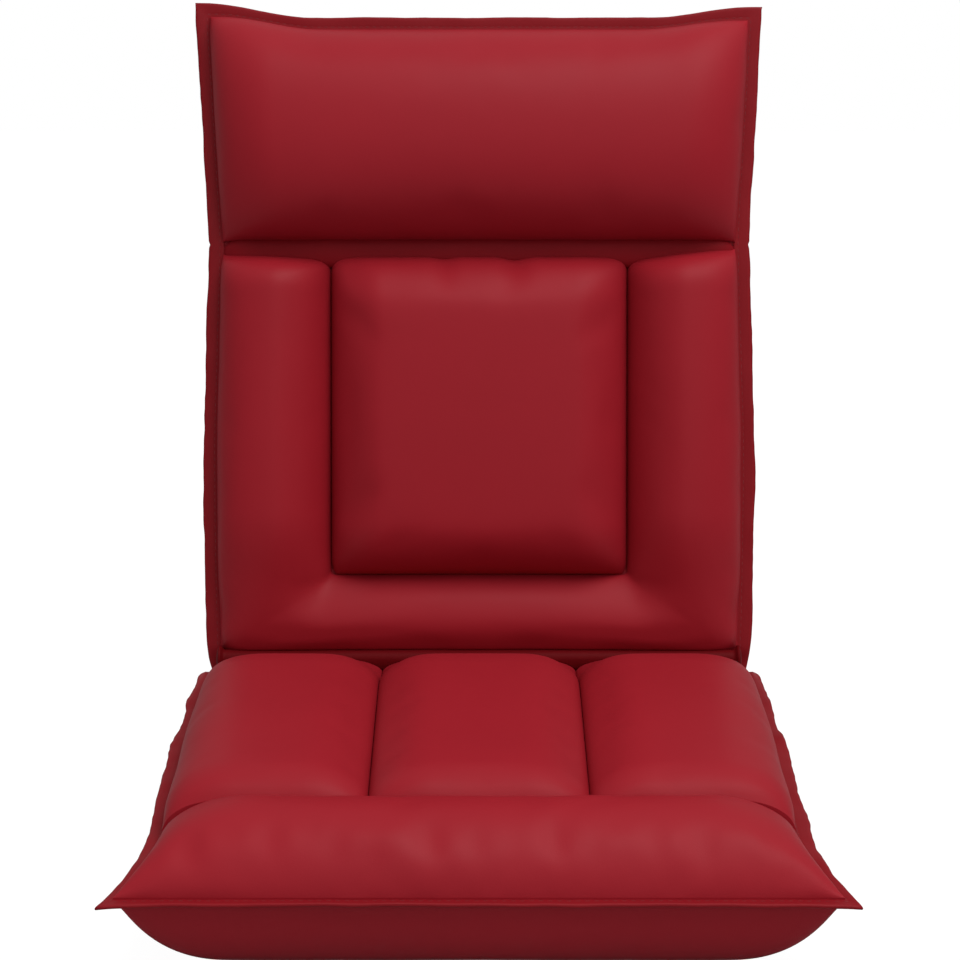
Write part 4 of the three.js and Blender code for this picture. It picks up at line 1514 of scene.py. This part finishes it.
@dataclass
class BackAssembly:
    """The back: the bolster, the lumbar pad, the rear cover, the seam roll under the headrest, the gusset and
    what is inside.
    """

    finishes: Finishes
    head_hinge: float = 0.400
    pads_top: float = 0.3895
    foot: float = 0.0
    foot_top: float = 0.080
    arm_inner: float = 0.1430
    groove: float = 0.0002
    crest: float = 0.0480
    foot_crest: float = 0.0285
    lumbar_crest: float = 0.0465
    lumbar_spread: float = 0.050
    lumbar_puckers: Sequence[Pucker] = (Pucker(-0.034, 0.009, 0.7), Pucker(0.034, 0.012, 1.0))
    pucker_drop: float = 0.12
    pucker_pull: float = 0.0035
    pucker_reach: float = 0.018
    corner: float = 0.015
    wedge: float = math.radians(16.0)
    wedge_start: float = 0.0150
    wedge_swell: float = 0.0035
    hold_start: float = 0.0185
    lumbar_start: float = 0.0137
    lumbar_hold: float = 0.0140
    roll_reach: float = 0.0082
    belly_reach: float = 0.052
    edge_reach: float = 0.060
    edge_reach_less: float = 0.022
    end_reach: float = 0.034
    side_bulge: float = 0.010
    bolster_width: float = 0.103
    corner_left: float = 0.008
    corner_right: float = 0.003
    corner_reach: float = 0.06
    rear_top: float = 0.606
    rear_width: float = 0.51
    rear_seam: float = 0.0035
    rear_seam_reach: float = 0.006
    strap_places: Sequence[float] = (0.14, 0.20, 0.26)

    def rounded_off(self, distance: float) -> float:
        """How far a pad's corner is drawn in at a distance from its end."""
        return self.corner * (1 - round_share(distance / self.corner))

    def clear_of_roll(self, points: np.ndarray) -> np.ndarray:
        """Moves points out of the rolled seam at the crease.

        Args:
            points: Rows of points, drawn flat. They are changed in place.

        Returns:
            The same rows.
        """
        reach = self.roll_reach
        out = points[:, 1:3] - np.array([0.0, CHAIR.crease_rise])
        length = np.maximum(np.linalg.norm(out, axis=1, keepdims=True), 1e-6)
        near = length[:, 0] < reach
        points[near, 1:3] = np.array([0.0, CHAIR.crease_rise]) + (out / length * reach)[near]
        return points

    def bolster(self) -> Panel:
        """Draws the bolster that runs up both sides and across below the lumbar pad.

        Returns:
            The panel, drawn flat.
        """
        columns, arm_rows, foot_rows = 24, 64, 48
        top, foot = self.pads_top - 0.003, self.foot
        path: list[tuple[Flat, Flat]] = []
        for k in range(arm_rows):
            share = k / arm_rows
            out = top + (foot - top) * share
            y = top + (self.foot_top - top) * share
            path.append(((self.arm_inner + self.rounded_off(top - y), y), (BACK_SEAM(out), out)))

        def drawn_up(x: float, y: float) -> float:
            """Says how far the outer top corner is drawn up to the headrest's seam.

            Args:
                x: Place across the back.
                y: Distance from the crease.

            Returns:
                The length that a point there is moved up.
            """
            outer = ease((abs(x) - self.arm_inner) / 0.10)
            most = self.corner_left if x > 0 else self.corner_right
            return most * outer * ease((y - top + self.corner_reach) / self.corner_reach)

        arm = list(path)
        for k in range(foot_rows + 1):
            share = 1 - 2 * k / foot_rows
            path.append(((self.arm_inner * share, self.foot_top), (BACK_SEAM(foot) * share, foot)))
        path += [((-i[0], i[1]), (-o[0], o[1])) for i, o in reversed(arm)]
        rows = len(path) - 1
        places = spaced(columns, self.bolster_width, 0.046, 0.057, self.crest)
        across = [p / self.bolster_width for p in places]

        def surface(u: float, v: float) -> Point:
            """Finds a point of the bolster's face.

            Args:
                u: Share of the way across the panel's grid.
                v: Share of the way along it.

            Returns:
                The point, drawn flat.
            """
            inner, outer = path[round(v * rows)]
            share = across[round(u * columns)]
            x = inner[0] + (outer[0] - inner[0]) * share
            y = inner[1] + (outer[1] - inner[1]) * share
            edge = self.arm_inner + self.rounded_off(top - y)
            past, below = abs(x) - edge, self.foot_top - y
            inward = math.hypot(max(past, 0.0), max(below, 0.0))
            outward = soft_min(BACK_SEAM(y) - abs(x), y - foot, 0.025)
            foot_share = max(below, 0.0) / max(inward, 1e-6)
            belly = round_share(inward / self.belly_reach, 1.65 - 0.35 * foot_share)
            belly *= round_share(outward / (self.edge_reach - self.edge_reach_less * foot_share), 2.3)
            end = round_share((top - y) / self.end_reach, 2.1)
            crest = self.foot_crest + (self.crest - self.foot_crest) * ease((y - 0.03) / 0.11)
            full = CHAIR.pad_edge + (crest - CHAIR.pad_edge) * belly * end
            wedge = self.wedge_start + y * math.tan(self.wedge) + self.wedge_swell * ease((y - 0.008) / 0.02)
            side = min(max((BACK_SEAM(y) - abs(x)) / self.edge_reach, 0.0), 1.0)
            out = self.side_bulge * round_share(side) * (1 - side) ** 2 * ease((y - 0.03) / 0.05) * end
            x += math.copysign(out, x)
            return (x, y + drawn_up(x, y), CHAIR.pad_base + soft_min(full, wedge, 0.006))

        def freedom(points: np.ndarray) -> np.ndarray:
            """Lets the bolster swell less beside the lumbar pad.

            Args:
                points: The starting points, drawn flat.

            Returns:
                The share of its move that each point keeps.
            """
            past = np.maximum(np.abs(points[:, 0]) - self.arm_inner, 0.0)
            below = np.maximum(self.foot_top - points[:, 1], 0.0)
            return near_seam(np.hypot(past, below), 0.024, 0.1)

        def keep(points: np.ndarray) -> np.ndarray:
            """Holds the bolster off the lumbar pad and the crease, and out of the folded seat.

            Args:
                points: The moved points, drawn flat. They are changed in place.

            Returns:
                The same rows.
            """
            inside = (np.abs(points[:, 0]) < self.arm_inner) & (points[:, 1] > self.foot_top)
            near_arm = self.arm_inner - np.abs(points[:, 0]) < points[:, 1] - self.foot_top
            arm_hit = inside & near_arm
            points[arm_hit, 0] = np.sign(points[arm_hit, 0]) * self.arm_inner
            points[inside & ~near_arm, 1] = self.foot_top
            points[:, 1] = np.maximum(points[:, 1], self.foot)
            limit = CHAIR.pad_base + self.hold_start + points[:, 1] * math.tan(self.wedge)
            points[:, 2] = np.minimum(points[:, 2], limit)
            return self.clear_of_roll(points)

        stuffing = Stuffing(cap=0.004, slack=0.005)
        return Panel(
            "back_bolster_cover", Lie.BACK, columns, rows, surface, CHAIR.pad_base, stuffing, keep, freedom
        )

    def lumbar(self) -> Panel:
        """Draws the square pad in the middle of the back.

        Returns:
            The panel, drawn flat.
        """
        columns = rows = 60
        half = self.arm_inner - self.groove
        low, high = self.foot_top + 0.0002, self.pads_top - 0.002
        spread = self.lumbar_spread
        across = spaced(columns, 2 * half, spread, spread, self.lumbar_crest)
        along = spaced(rows, high - low, spread, spread, self.lumbar_crest)

        def surface(u: float, v: float) -> Point:
            """Finds a point of the pad's face, with two puckers at its top edge.

            Args:
                u: Share of the way across the panel's grid.
                v: Share of the way along it.

            Returns:
                The point, drawn flat.
            """
            y = low + along[round(v * rows)]
            here = half - self.rounded_off(high - y) * 0.8 - self.rounded_off(y - low) * 0.4
            x = (across[round(u * columns)] / half - 1) * here
            near_top = math.exp(-(((high - y) / self.pucker_reach) ** 2))
            tuck = sum(pucker.at(x) for pucker in self.lumbar_puckers)
            sides = round_share((here - abs(x)) / spread, 1.8)
            ends = round_share(min(y - low, high - y) / spread, 2.0)
            crown = 0.93 + 0.07 * (1 - (x / half) ** 2) * (1 - ((2 * y - low - high) / (high - low)) ** 2)
            full = (self.lumbar_crest * crown - CHAIR.pad_edge) * sides * ends
            full = CHAIR.pad_edge + full * (1 - self.pucker_drop * near_top * tuck)
            wedge = self.lumbar_start + y * math.tan(self.wedge)
            pulled = y - self.pucker_pull * near_top * tuck
            return (x, pulled, CHAIR.pad_base + soft_min(full, wedge, 0.003))

        def keep(points: np.ndarray) -> np.ndarray:
            """Holds the pad inside its groove, and out of the folded seat.

            Args:
                points: The moved points, drawn flat. They are changed in place.

            Returns:
                The same rows.
            """
            points[:, 0] = np.clip(points[:, 0], -half, half)
            points[:, 1] = np.clip(points[:, 1], low, high)
            limit = CHAIR.pad_base + self.lumbar_hold + points[:, 1] * math.tan(self.wedge)
            points[:, 2] = np.minimum(points[:, 2], limit)
            return points

        def freedom(points: np.ndarray) -> np.ndarray:
            """Lets the pad swell less beside the bolster's arms."""
            return near_seam(half - np.abs(points[:, 0]), 0.024, 0.1)

        stuffing = Stuffing(cap=0.004, slack=0.005)
        return Panel(
            "lumbar_pad_cover", Lie.BACK, columns, rows, surface, CHAIR.pad_base, stuffing, keep, freedom
        )

    def rear(self) -> Panel:
        """Draws the rear cushions' cover, in one from the crease to the top of the headrest.

        Returns:
            The panel, drawn flat.
        """
        columns, rows = 84, 90
        top = self.rear_top
        tuck = CHAIR.shell_tuck
        places = spaced(columns, self.rear_width, tuck, tuck, CHAIR.seam_plane)
        across = [p / self.rear_width for p in places]
        along = spaced(rows, top - 0.0003, 0.0, tuck, CHAIR.seam_plane)

        def surface(u: float, v: float) -> Point:
            """Finds a point of the cover's rear, with a seam pressed in at the headrest's hinge.

            Args:
                u: Share of the way across the panel's grid.
                v: Share of the way along it.

            Returns:
                The point, drawn flat.
            """
            y = 0.0003 + along[round(v * rows)]
            half = BACK_SEAM(y)
            x = half * (2 * across[round(u * columns)] - 1)
            side = round_share((half - abs(x)) / tuck)
            deep = CHAIR.seam_plane * side * round_share((top - y) / tuck)
            near_hinge = math.exp(-(((y - self.head_hinge) / self.rear_seam_reach) ** 2))
            seam = self.rear_seam * near_hinge * side
            return (x, y, CHAIR.seam_plane - deep + seam)

        def keep(points: np.ndarray) -> np.ndarray:
            """Holds the cover above the crease and inside the chair's thickness.

            Args:
                points: The moved points, drawn flat. They are changed in place.

            Returns:
                The same rows.
            """
            points[:, 1] = np.maximum(points[:, 1], 0.0003)
            points[:, 2] = np.clip(points[:, 2], 0.0002, None)
            return points

        bend_start, bend_pitch, bend_count = self.head_hinge - 0.032, 0.004, 17
        bends = [bend_start + bend_pitch * k for k in range(bend_count)]
        return Panel(
            "back_rear_cover", Lie.BACK, columns, rows, surface, CHAIR.seam_plane,
            Stuffing(cap=0.003, slack=0.01), keep, bends=bends,
        )

    def gusset(self) -> bpy.types.Object:
        """Makes the cloth that closes the back of the crease, from the seat's end to the back's.

        Returns:
            The closed mesh object, where it is at rest.
        """
        steps, count, thick = 36, 64, 0.0015
        tuck = CHAIR.shell_tuck
        half, gap = 0.2500, 0.0137
        lap_start, sweep = -0.14, 1.28
        slack, drawn_in = 0.0022, 0.0035
        outline: list[Flat] = []
        for k in range(count + 1):
            angle = math.pi / 2 * k / count
            outline.append((half - tuck * (1 - math.cos(angle)), gap + CHAIR.seam_plane * math.sin(angle)))
        side = [(half, r) for r in (0.0040, 0.0065, 0.0090, 0.0115)] + outline
        bottom = [((half - tuck) * (1 - 2 * k / count), gap + CHAIR.seam_plane) for k in range(1, count)]
        profile = side + bottom + [(-x, r) for x, r in reversed(side)]
        inner = []
        for k, (x, r) in enumerate(profile):
            a, b = profile[max(k - 1, 0)], profile[min(k + 1, len(profile) - 1)]
            way = Vector((b[0] - a[0], b[1] - a[1])).normalized()
            inner.append((x - way.y * thick, r + way.x * thick))
        loop = profile + inner[::-1]
        rings = []
        for j in range(steps + 1):
            share = lap_start + sweep * j / steps
            angle = CHAIR.upright * share
            gather = math.sin(math.pi * min(max(share, 0.0), 1.0))
            inside = 0.0016 * ease((abs(share - 0.5) - 0.5) / 0.06)
            ring = []
            for k, (x, r) in enumerate(loop):
                along = k if k < len(profile) else len(loop) - 1 - k
                fold = slack * gather * ripple(along * 0.004, share * 0.06, 0.018, 21.0)
                pull = drawn_in * gather * (r - gap) / CHAIR.seam_plane
                reach = r - pull + fold - inside * min(r / 0.03, 1.0)
                wide = x * (1 - 0.010 * gather) - math.copysign(inside, x)
                ring.append((wide, reach * math.sin(angle), CHAIR.crease_rise - reach * math.cos(angle)))
            rings.append(ring)
        return tube_between("crease_gusset_cloth", Lie.SEAT, rings)

    def build(self) -> None:
        """Makes, dresses and places every piece of the back."""
        f = self.finishes
        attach(settle(self.bolster().build(), f.cover, ["back_bolster"]), "back")
        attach(settle(self.lumbar().build(), f.cover, ["lumbar_pad"]), "back")
        nodes = ["back_rear_cushion", "head_rear_cushion"]
        rear = settle(self.rear().build(), f.under, nodes)
        places = np.array([(0.0, self.head_hinge - 0.03, 0.0), (0.0, self.head_hinge + 0.03, 0.0)])
        low, high = at_rest(places, Lie.BACK)
        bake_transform(rear)
        roll = SeamRoll(
            "head_seam_cover", Lie.BACK, along=0.3915, rise=0.0712, half=0.2470,
            tall=0.0100, deep=0.0155, cap=0.022, power=2.6,
        )
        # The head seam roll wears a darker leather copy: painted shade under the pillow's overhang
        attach(settle(roll.build(), f.seam, ["head_seam_roll"]), "back")
        gusset = settle(self.gusset(), f.under, ["rear_gusset"])
        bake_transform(gusset)
        slab = FoamSlab("back_foam_slab", Lie.BACK, 0.0850, 0.3150, self.strap_places)
        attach(settle(slab.build(), f.foam, ["back_core_foam"]), "back")
        for i, along in enumerate(self.strap_places, 1):
            strap = webbing(f"back_webbing_{i}", Lie.BACK, along)
            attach(settle(strap, f.tape, [f"back_strap_{i}"]), "back")


@dataclass
class HeadAssembly:
    """The headrest: its pillow, its flange and what is inside."""

    finishes: Finishes
    low: float = 0.4018
    top: float = 0.6060
    crest: float = 0.0620
    spread: float = 0.062
    ear_left: float = 0.0120
    ear_right: float = 0.0085
    ear_tip: float = 0.0020
    side_bulge: float = 0.011
    droop: float = 0.06
    width: float = 0.512
    hem: float = 0.0118
    strap_place: float = 0.5104

    def ear(self, share: float) -> float:
        """How far an ear is drawn out, from 0 in the middle to 1 at the corner."""
        return ease((abs(share) - 0.60) / 0.36)

    def edge_at(self, share: float) -> float:
        """Distance from the crease to the pillow's top seam, at a share of the half width."""
        return self.top + (self.ear_left if share > 0 else self.ear_right) * self.ear(share)

    def pillow(self) -> Panel:
        """Draws the pillow, drawn out into ears at its top corners.

        Returns:
            The panel, drawn flat.
        """
        columns, rows = 104, 46
        long = self.top - self.low
        along = [p / long for p in spaced(rows, long, long * 0.45, long * 0.45, self.crest)]
        across = [p / self.width for p in spaced(columns, self.width, self.spread, self.spread, 0.05)]

        def surface(u: float, v: float) -> Point:
            """Finds a point of the pillow's face.

            Args:
                u: Share of the way across the panel's grid.
                v: Share of the way along it.

            Returns:
                The point, drawn flat.
            """
            side = 2 * across[round(u * columns)] - 1
            high = self.edge_at(-side)
            t = along[round(v * rows)]
            y = self.low + (high - self.low) * t
            half = BACK_SEAM(y)
            x = half * side
            belly = round_share(1 - abs(2 * t - 1), 2.15)
            sides = round_share((half - abs(x)) / self.spread, 2.0)
            droop = 1 + self.droop * (1 - t) * (1 - side * side)
            height = CHAIR.pad_edge + (self.crest * droop - CHAIR.pad_edge) * belly * sides
            edge = min(max((half - abs(x)) / self.spread, 0.0), 1.0)
            x += math.copysign(self.side_bulge * sides * (1 - edge) ** 2 * belly, x)
            return (x, y, CHAIR.pad_base + height)

        stuffing = Stuffing(cap=0.005, slack=0.006)
        return Panel("head_pillow_cover", Lie.BACK, columns, rows, surface, CHAIR.pad_base, stuffing)

    def rim(self) -> Flange:
        """Draws the flange up both sides of the back and the headrest, and across the top.

        Returns:
            The flange.
        """
        start, seam_line = -0.022, 0.3985
        side: list[Station] = []
        steps = 190
        for k in range(steps):
            y = start + (self.edge_at(1.0) - start) * k / steps
            half = BACK_SEAM(y)
            rise = 0.0110 * ease((y - 0.56) / (self.edge_at(1.0) - 0.56))
            taper = 0.15 + 0.85 * round_share((y - start) / 0.045)
            notch = 1 - 0.10 * math.exp(-(((y - seam_line) / 0.0022) ** 2))
            edge = half + CHAIR.flange_width * taper * notch
            side.append(Station((half, y), (edge, y + rise), 0.6 * taper))
        half = BACK_SEAM(self.top)
        wide = half + CHAIR.flange_width + 0.0005
        top: list[Station] = []
        steps = 84
        for k in range(steps + 1):
            share = 1 - 2 * k / steps
            seam = self.edge_at(-share)
            out = seam + self.hem + self.ear_tip * self.ear(share)
            top.append(Station((half * share, seam), (wide * share, out), 0.35))
        other = [Station((-s.seam[0], s.seam[1]), (-s.free[0], s.free[1]), s.wave) for s in reversed(side)]
        return Flange("back_flange", Lie.BACK, side + top + other, 51.0, tail_drop=0.0036)

    def build(self) -> None:
        """Makes, dresses and places every piece of the headrest."""
        f = self.finishes
        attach(settle(self.pillow().build(), f.cover, ["head_pillow"]), "head")
        rim = self.rim()
        nodes = ["back_welt_left", "back_welt_right", "head_welt_left", "head_welt_right", "head_welt_top"]
        # The flange wears the darker leather copy: painted shade beside the pads
        hem = settle(rim.build(), f.flange, nodes)
        threads = settle(rim.stitches("back_flange_stitches"), f.thread, [])
        low, high = at_rest(np.array([(0.0, 0.386, 0.0), (0.0, 0.414, 0.0)]), Lie.BACK)
        for piece in (hem, threads):
            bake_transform(piece)
        slab = FoamSlab("head_foam_slab", Lie.BACK, 0.4435, 0.5722, [self.strap_place], chamfer_high=0.0225)
        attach(settle(slab.build(), f.foam, ["head_core_foam"]), "head")
        strap = webbing("head_webbing", Lie.BACK, self.strap_place)
        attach(settle(strap, f.tape, ["head_strap"]), "head")


@dataclass
class SteelFrame:
    """The tubes and hinges, which keep their CAD shapes and get their finishes here."""

    finishes: Finishes

    def build(self) -> None:
        """Dresses every tube, plate, rivet, spring and pawl."""
        f = self.finishes
        for name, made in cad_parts.items():
            if made.hide_render:
                continue
            if "tube" in name or "rail" in name:
                finish = f.paint
            elif "spring" in name or name.endswith(("pawl_left", "pawl_right")):
                finish = f.spring
            else:
                finish = f.zinc
            made.data.materials.clear()
            made.data.materials.append(finish)
            log.info("%s keeps its shape, in %s", name, finish.name)


@dataclass
class Studio:
    """A plain pale floor, soft light and the camera."""

    eye: Point = (0.0, -1.547, 0.7065)
    pitch: float = math.radians(13.9)
    lens: float = 73.7
    shift: float = 0.001
    floor_half: float = 9.0
    floor_level: float = -0.0006
    floor_grey: float = 0.40
    floor_glow: float = 1.33
    floor_glow_share: float = 0.72
    horizon: float = 0.24
    zenith: float = 0.56

    def floor(self) -> None:
        """Makes the floor, which shows near white to the camera and keeps the chair's shadow."""
        size, level = self.floor_half, self.floor_level
        corners = [(-size, -size, level), (size, -size, level), (size, size, level), (-size, size, level)]
        floor = mesh_object("studio_floor", np.array(corners), [(0, 1, 2, 3)])
        material, tree, shader, _ = start_material("studio_floor")
        shader.inputs["Base Color"].default_value = shade((1.0, 1.0, 1.0), self.floor_grey)
        shader.inputs["Roughness"].default_value = 0.9
        shader.inputs["Specular IOR Level"].default_value = 0.1
        glow = node(tree, "ShaderNodeEmission", Color=(1.0, 1.0, 1.0, 1.0), Strength=self.floor_glow)
        rays = node(tree, "ShaderNodeLightPath")
        share = node(tree, "ShaderNodeMath", operation="MULTIPLY", i0=rays.outputs["Is Camera Ray"],
                     i1=self.floor_glow_share)
        mix = node(tree, "ShaderNodeMixShader", i0=share.outputs[0], i1=shader.outputs[0], i2=glow.outputs[0])
        tree.links.new(mix.outputs[0], tree.nodes["Material Output"].inputs["Surface"])
        floor.data.materials.append(material)

    def world(self) -> None:
        """Lights the room, brighter from above than at the horizon, and shows white to the camera."""
        world = bpy.data.worlds.new("studio")
        bpy.context.scene.world = world
        world.use_nodes = True
        tree = world.node_tree
        rays = node(tree, "ShaderNodeLightPath")
        room = tree.nodes["Background"]
        room.inputs["Color"].default_value = (1.0, 1.0, 1.0, 1.0)
        way = tree.nodes.new("ShaderNodeTexCoord").outputs["Generated"]
        height = node(tree, "ShaderNodeSeparateXYZ", Vector=way)
        level = node(tree, "ShaderNodeMapRange", i0=height.outputs["Z"], i1=0.0, i2=0.8,
                     i3=self.horizon, i4=self.zenith)
        tree.links.new(level.outputs[0], room.inputs["Strength"])
        white = node(tree, "ShaderNodeBackground", Color=(1.0, 1.0, 1.0, 1.0), Strength=1.0)
        mix = node(tree, "ShaderNodeMixShader", i0=rays.outputs["Is Camera Ray"], i1=room.outputs[0],
                   i2=white.outputs[0])
        tree.links.new(mix.outputs[0], tree.nodes["World Output"].inputs["Surface"])

    def lamp(self, name: str, place: Point, aim: Point, size: Flat, power: float) -> None:
        """Adds one soft rectangular lamp.

        Args:
            name: The lamp's name.
            place: Where it is.
            aim: The point that it faces.
            size: Its width and height.
            power: Its power in watts.
        """
        data = bpy.data.lights.new(name, "AREA")
        data.shape = "RECTANGLE"
        data.size, data.size_y = size
        data.energy = power
        lamp = bpy.data.objects.new(name, data)
        bpy.context.scene.collection.objects.link(lamp)
        way = Vector(aim) - Vector(place)
        lamp.matrix_world = Matrix.Translation(place) @ way.to_track_quat("-Z", "Y").to_matrix().to_4x4()

    def camera(self) -> None:
        """Sets the camera at the photograph's viewing angle."""
        data = bpy.data.cameras.new("view")
        data.lens = self.lens
        data.sensor_width = 36.0
        data.shift_x = self.shift
        camera = bpy.data.objects.new("view", data)
        bpy.context.scene.collection.objects.link(camera)
        camera.location = self.eye
        camera.rotation_euler = (math.pi / 2 - self.pitch, 0.0, 0.0)
        bpy.context.scene.camera = camera

    def build(self) -> None:
        """Makes the whole studio."""
        self.floor()
        self.world()
        self.lamp("overhead", place=(1.1, -1.15, 3.6), aim=(0.0, 0.0, 0.3), size=(2.8, 2.2), power=96.0)
        self.lamp("front", place=(0.3, -2.8, 1.5), aim=(0.0, 0.2, 0.3), size=(2.2, 1.2), power=8.0)
        self.lamp("rear", place=(0.0, 2.7, 0.9), aim=(0.0, 0.35, 0.35), size=(0.45, 1.0), power=22.0)
        self.camera()
        bpy.context.scene.view_settings.view_transform = "Standard"


def main() -> None:
    """Builds the chair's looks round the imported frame, piece by piece."""
    logging.basicConfig(level=logging.INFO, format="%(message)s")
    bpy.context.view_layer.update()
    Studio().build()
    finishes = Finishes.make()
    SeatAssembly(finishes).build()
    BackAssembly(finishes).build()
    HeadAssembly(finishes).build()
    SteelFrame(finishes).build()


if __name__ == "__main__":
    main()
